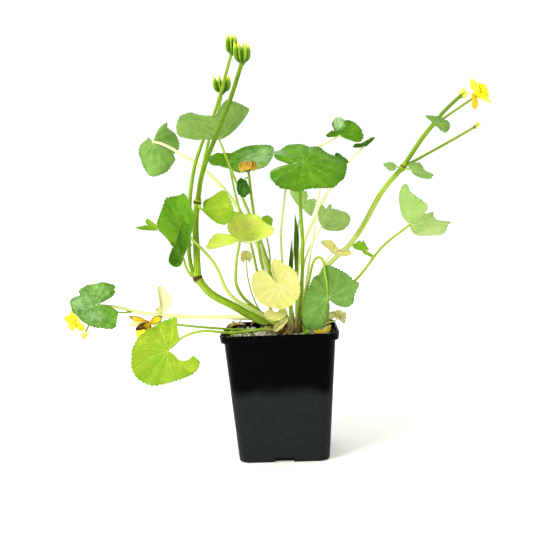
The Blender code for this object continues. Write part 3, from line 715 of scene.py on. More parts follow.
def leaf_paint(name, tones, veins, relief, rough):
    paint = Paint(name, 0.12)
    grain = paint.attribute("grain", "Vector")
    x, y = paint.node("ShaderNodeSeparateXYZ", None, {0: grain}, ("X", "Y"))
    share = (x * x + y * y) ** 0.5
    wander = paint.noise(grain, 1.7, 3) - 0.5
    turn = x.maths("ARCTAN2", y, x) + wander * 0.55
    ray = abs((turn * (RAYS / math.tau) + 0.5).fraction() - 0.5) * (math.tau / RAYS) * share
    fork = abs(ray - (share - 0.38).at_least(0) * 0.27)
    twig = abs(fork - (share - 0.64).at_least(0) * 0.26)
    main = 1 - (ray + share * 0.010).ramp(0.003, 0.022)
    forks = (1 - (fork + share * 0.006).ramp(0.003, 0.016)) * share.ramp(0.34, 0.42)
    twigs = (1 - (twig + share * 0.004).ramp(0.002, 0.012)) * share.ramp(0.6, 0.68)
    lines = main.at_least(forks * 0.8).at_least(twigs * 0.6)
    lines = (lines * paint.noise(grain, 4, 2).ramp(0.3, 0.6, 0.3, 0.9)).at_least(1 - share.ramp(0.01, 0.05))
    mesh = paint.node("ShaderNodeTexVoronoi", {"feature": "DISTANCE_TO_EDGE"},
                      {"Vector": grain, "Scale": 10, "Randomness": 0.9}, "Distance")
    net = (1 - mesh.ramp(0.0, 0.013)) * 0.25
    swell = ray.at_least(0).ramp(0.0, 0.13)
    cloud = paint.noise(grain, 1.9, 2) - 0.5
    mottle = paint.noise(grain, 7, 5) - 0.5
    tone = paint.attribute("tone") + cloud * 0.3 + mottle * 0.24 - share.ramp(0.9, 1.0) * 0.05
    colour = paint.tint(tones, tone)
    pale = paint.tint(tones, tone + veins)
    pale = paint.mix(0.08, pale, (0.8, 0.88, 0.5))
    colour = paint.mix(lines.at_least(net), colour, pale)
    brown = (paint.attribute("rust") + mottle * 1.2).ramp(0.3, 0.6)
    burnt = paint.mix(mottle.ramp(-0.15, 0.15), (0.09, 0.035, 0.008), (0.42, 0.22, 0.05))
    colour = paint.mix(brown, colour, burnt)
    bloom = (mottle * 0.8 - paint.attribute("rust")).ramp(0.1, 0.9)
    colour = paint.mix(bloom * 0.85, colour, (0.50, 0.74, 0.36))
    height = lines * relief + swell * 0.4 + mesh.ramp(0, 0.03) * 0.2 + mottle * 0.6
    return paint.finish(Base_Color=colour, Roughness=mottle.ramp(-0.3, 0.3, rough, rough + 0.12),
                        Normal=paint.bump(height, 0.0006, 0.5))


UPPER_PAINT = leaf_paint("leaf upper face", UPPER_TONES, 0.12, -0.7, 0.38)
UNDER_PAINT = leaf_paint("leaf underside", UNDER_TONES, 0.22, 1.2, 0.55)


def bend(along, height, angle, width):
    """Where a point of a strip goes when the strip turns by angle, spread over width from the fold."""
    if abs(angle) < 1e-6:
        return along, height
    near = min(abs(along), width)
    rest = abs(along) - near
    turn = angle * near / width
    radius = width / angle
    out = radius * math.sin(turn) + rest * math.cos(turn) - height * math.sin(turn)
    rise = radius * (1 - math.cos(turn)) + rest * math.sin(turn) + height * math.cos(turn)
    return math.copysign(out, along), rise


def around(angle, seed, pace):
    """Smooth wandering between about -0.5 and 0.5 round a ring."""
    return noise.noise(Vector((math.cos(angle) * pace, math.sin(angle) * pace, seed)))


def margin(angle, spec):
    """Distance from the stalk to the margin, in mm, on the smooth curve through the edge's points."""
    edge = spec["edge"]
    turn = min(max(math.degrees(angle), edge[0][0]), edge[-1][0])
    span = max(k for k in range(len(edge) - 1) if edge[k][0] <= turn)
    (start, near), (stop, far) = edge[span:span + 2]
    slopes = []
    for k in (span, span + 1):
        low, high = edge[max(k - 1, 0)], edge[min(k + 1, len(edge) - 1)]
        slopes.append((high[1] - low[1]) / (high[0] - low[0]) * (stop - start))
    t = (turn - start) / (stop - start)
    blend = t * t * (3 - 2 * t)
    curve = near + (far - near) * blend + t * (1 - t) * (slopes[0] * (1 - t) - slopes[1] * t)
    return curve * (1 + around(angle, spec["seed"], 2.5) * MARGIN_WANDER)


def tooth(angle, spec):
    """How far the toothed margin stands out from its smooth line at angle, in mm."""
    count = round(spec["length"] * math.tau / TOOTH_PITCH)
    place = (angle * count / math.tau + 0.6 * around(angle, spec["seed"], 2)) % 1
    size = 0.8 + 0.8 * around(angle, spec["seed"] + 5, 5)
    return TOOTH_DEPTH * size * (math.sin(math.pi * place) ** 0.6 - 0.7)


def blade_point(share, angle, spec):
    """A point of the blade: x to the tip, y to the left side, z out of the upper face."""
    length = spec["length"] * MM
    edge = (margin(angle, spec) + tooth(angle, spec) * share**10) * MM
    hooked = spec.get("hook", 0) * 4 * share * (1 - share)
    angle -= math.radians(hooked) * max(0, (angle - HOOK_START) / HOOK_SPAN)
    x = share * edge * math.cos(angle)
    y = share * edge * math.sin(angle) * spec.get("width", 1.0)
    wave = math.sin(RUFFLES * angle)
    z = share * share * (spec.get("cup", 0.1) + spec.get("ruffle", 0.03) * wave)
    z += share**3 * around(angle, spec["seed"] + 9, 3.5) * spec.get("frill", 0.08)
    z += share * around(angle, spec["seed"] + 2, 1.2) * TILT
    z -= FURROW * math.cos(RAYS * angle) * min(share * 3, 1)
    left, right = spec.get("fold", (0, 0))
    y, z = bend(y, z * length, math.radians(left if y > 0 else right), CREASE * length)
    return x, y, z


def fan(bm, rings, steps, left, right):
    """A flat fan of faces about the origin, from the angle right on one side to left on the other."""
    shares = [1 - (1 - k / rings) ** RING_CROWDING for k in range(rings + 1)]
    spoke = [bm.verts.new((share, 0, 0)) for share in shares]
    edges = [bm.edges.new(pair) for pair in zip(spoke, spoke[1:])]
    bmesh.ops.rotate(bm, verts=spoke, matrix=Matrix.Rotation(-right, 3, "Z"))
    bmesh.ops.spin(bm, geom=spoke + edges, axis=(0, 0, 1), angle=left + right, steps=steps)
    bmesh.ops.remove_doubles(bm, verts=bm.verts, dist=1e-5)
    bmesh.ops.recalc_face_normals(bm, faces=bm.faces)
    if sum(face.normal.z for face in bm.faces) < 0:
        bmesh.ops.reverse_faces(bm, faces=bm.faces)


def facing(tip, upper, place):
    """Matrix of a blade whose tip and upper face point those ways, with its stalk's end at place."""
    x = Vector(tip).normalized()
    z = Vector(upper)
    z = (z - z.dot(x) * x).normalized()
    y = z.cross(x)
    return Matrix.Translation(Vector(place) * MM) @ Matrix((x, y, z)).transposed().to_4x4()


def spotted(spots, share, angle):
    """The sum of soft round spots, each an angle in degrees, a share, a spread and a strength."""
    here = Vector((share * math.cos(angle), share * math.sin(angle)))
    total = 0
    for place, out, spread, strength in spots:
        turn = math.radians(place)
        gap = here - Vector((out * math.cos(turn), out * math.sin(turn)))
        total += strength * math.exp(-gap.length_squared / spread**2)
    return total


def thicken(made, thickness):
    """Gives a sheet its thickness, with its second paint on the back and the rim if it has one."""
    step = made.modifiers.new("thickness", "SOLIDIFY")
    step.thickness = thickness
    step.offset = 0
    step.material_offset = 1
    step.material_offset_rim = 1


def leaf(name, spec):
    bm = growing_mesh()
    right, left = -math.radians(spec["edge"][0][0]), math.radians(spec["edge"][-1][0])
    steps = round((left + right) * spec["length"] / TOOTH_PITCH * STEPS_PER_TOOTH)
    fan(bm, BLADE_RINGS, max(steps, LEAST_STEPS), left, right)
    grain, tone, rust = marks(bm)
    for vert in bm.verts:
        share, angle = vert.co.length, math.atan2(vert.co.y, vert.co.x)
        vert[grain] = vert.co + Vector((0, 0, spec["seed"]))
        vert[tone] = spec.get("tone", 0.3) + spotted(spec.get("spots", []), share, angle)
        vert[rust] = spotted(spec.get("rust", []), share, angle)
        vert.co = blade_point(share, angle, spec)
    bmesh.ops.transform(bm, verts=bm.verts, matrix=facing(spec["tip"], spec["upper"], spec["stalk"][-1]))
    made = piece(name + "_blade", bm, [UPPER_PAINT, UNDER_PAINT], [name], 80)
    thicken(made, BLADE_THICKNESS)
    line = smooth_route(rooted(spec["stalk"]), 12)
    radii = [*spec["radii"], spec["radii"][-1] * STALK_TAPER]
    tones = spec.get("stalk_tones", STALK_TONES)
    rust = spec.get("stalk_rust", (0,))
    strand(name + "_stalk", name, line, radii, tones, rust=rust, sides=18, ribs=5, groove=0.06)


# Each leaf: its stalk's route and radii in mm, the ways that its tip and its upper face point, and
# its edge as angles from the tip in degrees, + to the left, with distances from the stalk in mm.
# fold turns up the left and right half, in degrees, and hook bends the lobe by the notch round.
# spots and rust lighten, brown or (below 0) bloom a round patch: angle, share, spread, strength.
GREEN_LEAVES = {
    "leaf_centre": dict(
        stalk=[(14, -8, 96), (17, -14, 120), (20, -22, 160), (20, -29, 205), (23, -34, 224)],
        radii=[1.8, 1.5, 1.3], tip=(1, 0.05, -0.12), upper=(0.05, -0.63, 0.78),
        edge=[(-171, 10), (-165, 22), (-150, 27), (-135, 32), (-120, 36), (-105, 33), (-90, 29), (-76, 27),
              (-69, 29), (-60, 30.5), (-30, 31), (0, 33), (15, 33), (30, 31), (45, 27), (60, 28), (90, 27),
              (105, 31), (120, 30), (135, 30), (150, 25), (165, 21), (177, 10)],
        cup=-0.08, rust=[(-140, 0.8, 0.14, 0.3), (-122, 0.55, 0.1, 0.25)],
        tone=0.23, stalk_tones=[0.5, 0.4, 0.3]),
    "leaf_top_left": dict(
        stalk=[(3, 7, 96), (-3, 7, 130), (-14, 5, 170), (-26, 4, 202), (-42, 0, 248)],
        radii=[1.6, 1.3, 1.2], tip=(0.04, -0.74, 0.67), upper=(0, 0.67, 0.74),
        edge=[(-88, 18), (-84, 31), (-75, 34.5), (-60, 36), (-45, 35), (-38, 34), (-30, 27), (-15, 25),
              (0, 27), (13, 37), (25, 36.5), (37, 34.5), (46, 34), (54, 34.5), (60, 31.5), (67, 20)],
        fold=(35, 0), cup=0.05, tone=0.25),
    "leaf_back": dict(
        stalk=[(-3, 11.5, 96), (-15, 18, 130), (-22.6, 22, 167), (-32, 25, 200), (-38, 27, 234)],
        radii=[1.4, 1.2, 1.0], tip=(1, 0, 0.03), upper=(-0.15, -0.62, 0.78),
        edge=[(-179, 16), (-165, 16), (-150, 15), (-120, 14), (-90, 17), (-75, 21), (-60, 26),
              (-45, 32), (-30, 36), (-15, 37), (0, 38), (15, 38), (30, 31), (45, 21), (60, 13), (75, 9),
              (90, 7), (120, 7), (150, 9), (165, 13), (179, 16)],
        ruffle=0, frill=0.03, tone=0.26, rust=[(0, 0.75, 0.6, -0.48)]),
    "leaf_upper_left": dict(
        stalk=[(5, 19, 96), (-10, 22, 145), (-31, 30, 193), (-57.5, 32, 226.5), (-81, 30, 244),
               (-93, 35, 251), (-103, 45, 255)],
        radii=[1.8, 1.8, 1.3], tip=(-0.2, 0.1, -0.97), upper=(0.3, 0.93, 0),
        edge=[(-167, 10), (-152, 20), (-143, 17), (-120, 19.5), (-105, 21), (-90, 22.5), (-75, 22),
              (-68, 20), (-60, 24), (-45, 25.5), (-30, 28), (0, 29), (15, 27), (30, 24), (45, 21),
              (60, 18), (90, 13), (110, 8)],
        fold=(20, 20), cup=0.1, tone=0.19, spots=[(-100, 0.75, 0.4, -0.12)],
        stalk_tones=[0.8, 0.9, 1.0]),
    "leaf_right_back": dict(
        stalk=[(11, 18, 96), (3, 24, 150), (5, 32, 190), (17, 40, 229), (56, 55, 254)],
        radii=[1.3, 1.1, 1.0], tip=(0.8, 0.3, 0.5), upper=(0.05, -0.92, 0.4),
        edge=[(-84, 3), (-75, 8), (-68, 14), (-60, 18.2), (-45, 20), (-30, 19.5), (-15, 18.8), (0, 17.3),
              (15, 16.2), (30, 15.2), (38, 13.8), (45, 14.5), (60, 15.7), (75, 15.2), (90, 13), (97, 12),
              (105, 7.5), (112, 6), (120, 8.5), (135, 10.3), (150, 13), (160, 11), (170, 6)],
        fold=(25, 0), tone=0.2, rust=[(66, 0.75, 0.36, -1.2)], stalk_tones=[0.9, 0.9, 0.85]),
    "leaf_right_dark": dict(
        stalk=[(17, 14, 96), (15, 27, 140), (35, 48, 191), (63.4, 64, 231.5), (77.7, 70, 245)],
        radii=[1.8, 1.8, 1.3], tip=(0.78, 0.1, 0.62), upper=(0.1, -0.97, 0.2),
        edge=[(-25, 2), (-10, 6), (0, 12.5), (10, 9.5), (25, 6), (60, 4), (100, 4), (115, 7), (138, 9.8),
              (147, 7), (155, 3)],
        tone=0.15, stalk_tones=[0.9, 1.05, 1.0]),
    "leaf_behind_centre": dict(
        stalk=[(16, 9, 96), (23, 9, 137), (32, 4, 184), (37, 4, 210), (48, 5, 231)],
        radii=[1.1, 0.9], tip=(0.93, 0.1, -0.32), upper=(0.1, -0.9, 0.4),
        edge=[(-60, 9), (-30, 11), (-10, 11.5), (0, 11), (8, 8.5), (30, 5.5), (50, 5), (66, 4.5), (90, 2)],
        tone=0.1, stalk_tones=[1.0, 1.0]),
    "leaf_right_low": dict(
        stalk=[(22, 9, 96), (19, 16, 125), (22, 18, 150), (36, 15, 177)],
        radii=[1.2, 1.0], tip=(0.97, 0, 0.18), upper=(0, 0.85, 0.5),
        edge=[(-100, 6), (-90, 14), (-78, 20), (-66, 16), (-60, 21.8), (-52, 18), (-45, 19), (-30, 20.3),
              (-15, 23.3), (0, 24), (15, 24), (30, 23), (45, 18), (60, 8), (75, 5), (90, 3)],
        width=0.85, fold=(20, 10), tone=0.4, stalk_tones=[0.9, 0.95]),
    "leaf_middle_grey": dict(
        stalk=[(10, 12, 96), (10, 14, 140), (17, 13, 175), (21, 7, 193)],
        radii=[1.1, 0.9], tip=(0, -0.2, 0.98), upper=(0.1, 0.95, 0.2),
        edge=[(-80, 2), (-68, 3.9), (-50, 8.4), (-43, 12.9), (-37, 15.8), (-9, 13.5), (16, 12.5), (25, 11),
              (32, 8.5), (38, 5), (45, 7.5), (55, 10), (64, 12.2), (89, 10.5), (120, 10), (139, 10.2),
              (147, 6.5), (155, 3)],
        tone=0.38, stalk_tones=[0.8, 0.8]),
    "leaf_right": dict(
        stalk=[(19, -4, 96), (33, -6, 114), (61, -10, 135), (82, -17, 160), (102, -20, 175)],
        radii=[1.4, 1.2, 1.1], tip=(0.5, -0.75, 0.35), upper=(0.5, 0.65, 0.5),
        edge=[(-118, 6), (-112, 15), (-105, 22.5), (-95, 30), (-90, 32.5), (-80, 33), (-74, 27),
              (-60, 22.8), (-45, 21.3), (-30, 23), (-15, 24), (-8, 22.5), (-3, 17), (5, 20), (15, 20),
              (30, 19.5), (45, 21), (53, 27), (60, 31), (75, 33), (90, 37), (98, 38), (105, 37), (112, 32),
              (120, 26), (130, 13), (136, 5)],
        fold=(45, 45), tone=0.4, spots=[(90, 0.6, 0.5, 0.12)]),
    # Its spot lightens the half on the right as painted light, shining through the blade
    "leaf_front_right": dict(
        stalk=[(17, -14, 96), (23, -24, 133), (32, -34, 153.5), (36, -41, 140), (37, -41, 124)],
        radii=[1.4, 1.1, 1.0], tip=(-0.5, 0.05, 0.85), upper=(0.05, 0.97, 0.1),
        edge=[(-158, 6), (-150, 12), (-143, 18), (-135, 23.5), (-120, 28), (-105, 28), (-90, 23),
              (-75, 19), (-60, 17.5), (-30, 16), (-15, 17), (0, 18.5), (14, 17.5), (24, 23), (45, 22.5),
              (60, 22), (75, 22), (90, 23), (99, 25), (107, 22), (120, 19), (135, 19), (150, 16),
              (160, 11), (172, 5)],
        tone=0.1, spots=[(110, 0.7, 0.6, 0.1)], stalk_tones=[0.55, 0.5, 0.5]),
    "leaf_left": dict(
        stalk=[(3, -11, 96), (-5, -14, 104), (-20, -20, 115), (-36, -25, 127), (-47, -30, 152),
               (-64, -34, 173)],
        radii=[2.0, 1.9, 1.4], tip=(-0.52, -0.1, 0.86), upper=(-0.2, -0.95, 0),
        edge=[(-70, 10), (-60, 22), (-48, 30), (-41, 36.5), (-30, 34), (-15, 33), (-5, 33), (0, 31),
              (15, 28.5), (45, 29.6), (52, 29), (60, 26.2), (75, 20), (90, 18), (100, 10)],
        width=0.7, tone=0.26, stalk_tones=[0.6, 0.7, 0.55]),
    "leaf_left_folded": dict(
        stalk=[(-65.5, -25, 143), (-67, -38, 150), (-68, -44, 158.5)],
        radii=[1.2, 1.0], tip=(0, 0, 1), upper=(0, -1, 0),
        edge=[(-45, 2), (-30, 9), (-24, 18), (-18, 22), (-8, 25.5), (0, 23), (9, 17), (20, 13.5), (34, 11),
              (60, 10.5), (85, 11), (111, 12), (130, 10.5), (146, 9), (165, 6), (178, 3)],
        fold=(25, 15), tone=0.15),
    "leaf_left_ragged": dict(
        stalk=[(-66, -10, 166), (-80, -12, 174), (-92, -12, 179)],
        radii=[0.8, 0.6], tip=(-0.87, 0, 0.5), upper=(0, -0.98, 0.1),
        edge=[(-60, 2), (-50, 4), (-32, 6.5), (-24, 10), (-20, 12), (-10, 11.7), (3, 8.5), (9, 11),
              (16, 12.5), (22, 16.8), (27, 11.5), (33, 3)],
        ruffle=0.1, tone=0.42),
    "leaf_far_left": dict(
        stalk=[(-99, 34, 107.3), (-118, 30, 111), (-136, 23, 117), (-152, 17, 120)],
        radii=[1.9, 1.7, 1.3], tip=(-0.97, 0, -0.1), upper=(0.1, -0.9, 0.4),
        edge=[(-175, 5), (-170, 9), (-163, 14), (-157, 18), (-150, 19.5), (-144, 22), (-135, 20.5),
              (-120, 19), (-90, 18), (-60, 19), (-45, 18.8), (-37, 16.5), (-30, 20), (-15, 22), (0, 20),
              (15, 18.8), (30, 17.3), (60, 17.5), (75, 18.8), (90, 20.2), (105, 22.3), (118, 27),
              (125, 28.5), (135, 25.6), (150, 22.5), (157, 17), (162, 9)],
        tone=0.2,
        rust=[(0, 0.4, 1.5, -0.34), (-16, 0.7, 0.3, -0.22), (75, 0.7, 0.4, -0.14), (-110, 0.7, 0.4, -0.14)],
        stalk_tones=[1.0, 0.95, 0.75]),
    "leaf_small_ragged": dict(
        stalk=[(74, -17, 152), (70, -20, 155), (66, -21, 158)],
        radii=[0.7, 0.6], tip=(-0.87, 0, 0.5), upper=(0.1, -0.97, 0.2),
        edge=[(-170, 4), (-116, 2.8), (-79, 4.6), (-59, 6.5), (-52, 5), (-27, 7.5), (-10, 7), (4, 8.5),
              (20, 8.6), (48, 3.1), (80, 2), (140, 5), (160, 8.6), (170, 7)],
        ruffle=0.1, tone=0.4),
    "leaf_lime_back": dict(
        stalk=[(-7, 5, 96), (-8, 12, 130), (-7, 14, 160), (-12, 12, 182)],
        radii=[1.0, 0.9, 0.8], tip=(1, 0, -0.1), upper=(0.1, -0.9, 0.4),
        edge=[(-70, 4), (-45, 7), (-25, 8), (0, 9.2), (20, 9), (47, 8), (71, 5.8), (95, 3)],
        tone=0.45),
    "bract_right_fork": dict(
        stalk=[(100.5, -16, 217.5), (102, -18, 217), (104, -19, 216.5)],
        radii=[0.8, 0.7], tip=(0.95, -0.1, -0.3), upper=(-0.1, 0.95, -0.3),
        edge=[(-130, 2), (-119, 5.3), (-86, 6.9), (-72, 8), (-60, 10.3), (-47, 9.5), (-34, 9.8),
              (-20, 9.9), (-10, 12.8), (-6, 16.6), (0, 17.5), (7, 16.2), (14, 11.9), (21, 7.8), (31, 3.7),
              (40, 2)],
        tone=0.28),
    "bract_right_small": dict(
        stalk=[(95.5, -15.5, 218.5), (94.5, -16, 219), (93, -16.5, 219.3)],
        radii=[0.7, 0.6], tip=(-0.95, -0.1, 0.25), upper=(0, 0.85, -0.5),
        edge=[(-100, 2), (-60, 4), (-20, 7.5), (0, 9.5), (20, 7), (60, 4), (100, 2)],
        tone=0.3),
    "bract_right_top": dict(
        stalk=[(124, -19, 249.5), (125, -20.5, 249.5), (126.5, -22, 249)],
        radii=[0.7, 0.6], tip=(-0.84, 0.1, 0.54), upper=(-0.2, 0.95, -0.1),
        edge=[(-179, 7.6), (-165, 7.5), (-148, 7.1), (-137, 4.9), (-99, 3), (-46, 3), (-11, 7), (-4, 10.3),
              (0, 12.6), (10, 11), (25, 8.3), (49, 6), (80, 4.6), (114, 5.8), (144, 7.2), (179, 7.6)],
        tone=0.18),
    "bract_spent": dict(
        stalk=[(-20.5, -8.8, 216.5), (-22, -11, 216), (-23, -12, 215)],
        radii=[0.7, 0.6], tip=(-0.07, 0, -1), upper=(0, -0.97, 0.1),
        edge=[(-120, 2), (-106, 3), (-50, 6.6), (-36, 9), (-19, 12), (0, 13.4), (15, 12), (30, 9.8),
              (37, 6), (50, 3), (70, 2)],
        tone=0.05),
}
LIME_LEAVES = {
    "leaf_lime": dict(
        stalk=[(2, 0, 96), (-17, -7, 113), (-31, -16, 131), (-31, -22, 150), (-27, -26, 168)],
        radii=[1.8, 1.6, 1.2], tip=(0.75, 0.4, 0.5), upper=(0, -0.8, 0.6),
        edge=[(-86, 5), (-80, 14), (-75, 19), (-60, 28), (-45, 29), (-30, 27.5), (-15, 26), (0, 24.5),
              (15, 24.5), (30, 23.7), (45, 24), (60, 26.5), (66, 23), (75, 18.5), (90, 15), (105, 10.5),
              (112, 6.5), (117, 12), (125, 19), (135, 21.7), (150, 25), (158, 27.5), (163, 24)],
        fold=(10, 35), tone=0.73, stalk_rust=(0, 0, 0, 0.6, 0, 0, 0, 0, 0)),
    "leaf_stem_right": dict(
        stalk=[(-57, -24.5, 196), (-56, -26, 194), (-54, -27, 192.5)],
        radii=[1.2, 1.0], tip=(0.96, -0.2, 0.08), upper=(0, -0.7, 0.7),
        edge=[(-70, 5), (-60, 13), (-55, 24), (-48, 31), (-42, 32), (-30, 29.7), (-15, 26.5), (0, 23.7),
              (15, 22), (30, 21.7), (45, 21.5), (53, 17), (60, 12), (70, 8), (84, 4)],
        tone=0.46),
    "leaf_low_left": dict(
        stalk=[(-2, -16, 95.6), (-4, -20, 98), (-35, -34, 99.5), (-63, -46, 102), (-79, -44, 93),
               (-83, -44, 89)],
        radii=[1.1, 1.0, 1.0], tip=(-0.93, 0, -0.35), upper=(0.1, -0.95, 0.25),
        edge=[(-170, 7), (-163, 12), (-150, 15), (-137, 19), (-130, 25), (-120, 24), (-105, 22),
              (-90, 20.5), (-75, 20.7), (-60, 21.5), (-45, 24), (-15, 26.5), (15, 29.3), (30, 29),
              (45, 27.7), (60, 24.7), (75, 23.4), (90, 23.5), (105, 24.8), (120, 26.3), (135, 27),
              (142, 25.5), (148, 20)],
        tone=0.49, hook=26, rust=[(118, 1.0, 0.07, 0.45)]),
}
CREAM_LEAVES = {
    "leaf_cream_round": dict(
        stalk=[(8, -14, 96), (5, -20, 112), (2, -24, 123), (0, -30, 133)],
        radii=[1.4, 1.2], tip=(0.5, -0.2, -0.85), upper=(-0.1, -0.93, 0.3),
        edge=[(-177, 7), (-172, 15), (-165, 17.5), (-150, 20.5), (-135, 19.5), (-105, 18.5), (-75, 18),
              (-45, 17.5), (0, 18), (30, 18), (60, 17), (90, 17.3), (120, 17.3), (135, 18), (150, 20.6),
              (160, 19), (167, 14), (172, 6)],
        tone=0.88, spots=[(0, 0.85, 0.5, -0.05)], stalk_tones=[0.6, 0.7]),
    "leaf_cream_small": dict(
        stalk=[(4, -19, 96), (1, -23, 106), (-2, -28, 113)],
        radii=[1.0, 0.8], tip=(0, -0.2, -1), upper=(0, -0.97, 0.2),
        edge=[(-125, 3), (-110, 6.5), (-84, 9), (-54, 7.9), (-24, 6.9), (0, 6.6), (34, 7), (67, 7.6),
              (90, 7.9), (112, 7), (125, 3)],
        tone=0.85, stalk_tones=[0.6, 0.7]),
    "leaf_cream_sheath": dict(
        stalk=[(-1, -19, 96), (-3, -26, 98), (-4, -29, 99)],
        radii=[0.8, 0.7], tip=(0.78, 0, 0.62), upper=(-0.1, -0.95, 0.2),
        edge=[(-60, 1.5), (-25, 5), (-8, 11), (0, 14.5), (8, 11), (25, 5), (60, 1.5)],
        tone=0.85, stalk_tones=[0.6, 0.7]),
    "leaf_trailing_pale": dict(
        stalk=[(-98, 33, 108), (-99, 33, 109), (-99.7, 34, 110)],
        radii=[1.0, 0.9], tip=(-0.08, 0.1, 1), upper=(0.2, -0.95, 0.1),
        edge=[(-80, 2), (-65, 4.5), (-54, 10), (-41, 13), (-30, 15.5), (-16, 18), (-7, 20), (4, 22.5),
              (8, 18), (11, 12), (18, 7.5), (32, 6.2), (58, 7), (71, 6.8), (85, 4.4), (95, 2)],
        tone=1.05, stalk_tones=[0.9, 0.9]),
    "leaf_cream_curled": dict(
        stalk=[(22, -8, 96), (29, -8, 125), (36, -8, 146), (43, -14, 156)],
        radii=[0.8, 0.7], tip=(1, 0, 0), upper=(0.1, -0.95, 0.25),
        edge=[(-60, 1.5), (-30, 4.5), (-17, 11.5), (-11, 13.8), (-2, 14.2), (6, 12.5), (13, 6.5), (40, 5),
              (76, 6.7), (97, 9.4), (114, 10.8), (136, 11.9), (143, 6), (150, 2)],
        ruffle=0.1, tone=0.88, stalk_tones=[0.7, 0.8]),
    "leaf_cream_thin": dict(
        stalk=[(-5, -1, 96), (-17, 0, 114), (-24, 2, 136), (-25, 3, 154)],
        radii=[0.8, 0.7], tip=(0, -0.3, 0.95), upper=(0, -0.95, 0.3),
        edge=[(-150, 4), (-100, 4.2), (-39, 6), (-6, 6.4), (27, 6.5), (58, 5), (110, 4.4), (150, 4.4)],
        tone=0.88, stalk_tones=[0.6, 0.6]),
}
WITHERED_LEAVES = {
    "leaf_withered": dict(
        stalk=[(24, 1, 95.6), (26, 2, 97), (38, 8, 99), (46, 10, 103), (44, 12, 108)],
        radii=[0.7, 0.7], tip=(0.5, 0, -0.87), upper=(0, -0.97, 0.2),
        edge=[(-125, 2), (-111, 4.4), (-97, 6.6), (-82, 7.4), (-63, 7.2), (-40, 5.8), (-25, 5.6),
              (-8, 7.5), (2, 11.7), (15, 11), (30, 9.9), (47, 9.5), (60, 5.7), (80, 3)],
        ruffle=0.15, tone=0.95, rust=[(0, 0.5, 0.8, 0.35)], stalk_tones=[0.8, 0.8]),
}

LEAVES = (GREEN_LEAVES, LIME_LEAVES, CREAM_LEAVES, WITHERED_LEAVES)
seed = 0
for leaves, slot in zip(LEAVES, ("green_leaf", "lime_leaf", "pale_leaf", "withered")):
    for name, spec in leaves.items():
        seed += 1
        length = max(reach for _, reach in spec["edge"])
        leaf(name, {**spec, "seed": seed * 1.7, "length": length})


# Flowers
# Five petals, thin and satin yellow with fine veins, round a ring of stamens. One flower is
# open, one has dried to brown-edged rags and one to an ochre cap, and others hang from stalks.

PETAL_THICKNESS = 0.3 * MM
CLAW = 0.12
STAMEN_RADII = (0.22, 0.16, 0.16, 0.45, 0.3)
PETAL_TONES = [
    (0.0, (0.07, 0.03, 0.008)), (0.2, (0.26, 0.15, 0.02)), (0.32, (0.48, 0.33, 0.03)),
    (0.45, (0.92, 0.46, 0.006)), (0.62, (0.98, 0.78, 0.004)), (0.85, (0.98, 0.93, 0.03)),
    (1.0, (0.95, 0.93, 0.40)),
]


def petal_paint():
    paint = Paint("petal", 0.35)
    grain = paint.attribute("grain", "Vector")
    vein = paint.noise(paint.stretch(grain, 1.2, 14, 1), 1.6, 3)
    mottle = paint.noise(grain, 4, 3) - 0.5
    tone = paint.attribute("tone") + (vein - 0.5) * 0.16 + mottle * 0.1
    colour = paint.tint(PETAL_TONES, tone)
    dry = (paint.attribute("rust") + mottle).ramp(0.25, 0.6)
    colour = paint.mix(dry, colour, (0.06, 0.025, 0.008))
    return paint.finish(Base_Color=colour, Roughness=vein.ramp(0.2, 0.8, 0.3, 0.5),
                        Normal=paint.bump(vein + mottle, 0.0005, 0.5))


PETAL_PAINT = petal_paint()

# Each petal: its turn and lift in degrees, its length and width in mm, its curl, tone and rust
# The sixth petal hangs under the flower, and its lower tone is painted shade
OPEN_PETALS = [
    (18, 28, 14, 13.5, -20, 0.76, 0.04), (92, 42, 13, 13, -25, 0.72, 0), (152, 30, 13.5, 12, -30, 0.76, 0),
    (232, 38, 13, 12, -20, 0.72, 0), (300, 42, 13, 12, -20, 0.72, 0), (120, -60, 11.5, 13, 12, 0.56, 0),
]
RAGGED_PETALS = [
    (-15, 8, 17, 6, -20, 0.52, 0.5), (-145, 20, 12, 6, -40, 0.54, 0.5), (5, 12, 19, 4, -15, 0.97, 0.2),
    (175, 15, 12, 4, -30, 0.95, 0.2), (17, 15, 13, 5, 40, 0.2, 0.8), (57, 4, 18, 13, -12, 0.66, 0.02),
    (40, 40, 9, 7, 60, 0.4, 0.6),
]
CAP_PETALS = [
    (0, 12, 10.5, 7.5, -115, 0.34, 0), (45, 5, 10.5, 7, -105, 0.29, 0.1), (90, 14, 10.5, 7.5, -120, 0.33, 0),
    (135, 6, 11, 7, -108, 0.29, 0.1), (180, 12, 10.5, 7.5, -116, 0.34, 0), (225, 4, 11, 7, -104, 0.3, 0.1),
    (270, 14, 10, 7.5, -112, 0.36, 0), (315, 6, 10.5, 7, -106, 0.3, 0.1), (30, -84, 8, 4, 0, 0.1, 0.6),
    (150, -84, 8, 4, 0, 0.1, 0.6), (270, -84, 8, 4, 0, 0.1, 0.6),
]
LOOSE_PETALS = [
    (15, 35, 11, 7, -70, 0.84, 0), (70, 10, 10, 8, 50, 0.76, 0), (150, 40, 11, 8, -80, 0.8, 0.05),
    (215, 5, 11.5, 7.5, -50, 0.74, 0.1), (290, 45, 10.5, 8, -60, 0.88, 0),
]
NODDING_PETALS = [
    (0, -10, 6.5, 4.5, -60, 1.0, 0.1), (75, 5, 6, 4, -50, 0.95, 0.2), (150, -20, 6.5, 4.5, -40, 1.0, 0.1),
    (225, 0, 6, 4, -70, 0.9, 0.3), (300, -10, 6.5, 4, -40, 1.0, 0.1),
]
FALLEN_PETALS = [(20, 18, 9, 9, 50, 0.62, 0.05), (165, 14, 8, 8, 30, 0.56, 0.1)]
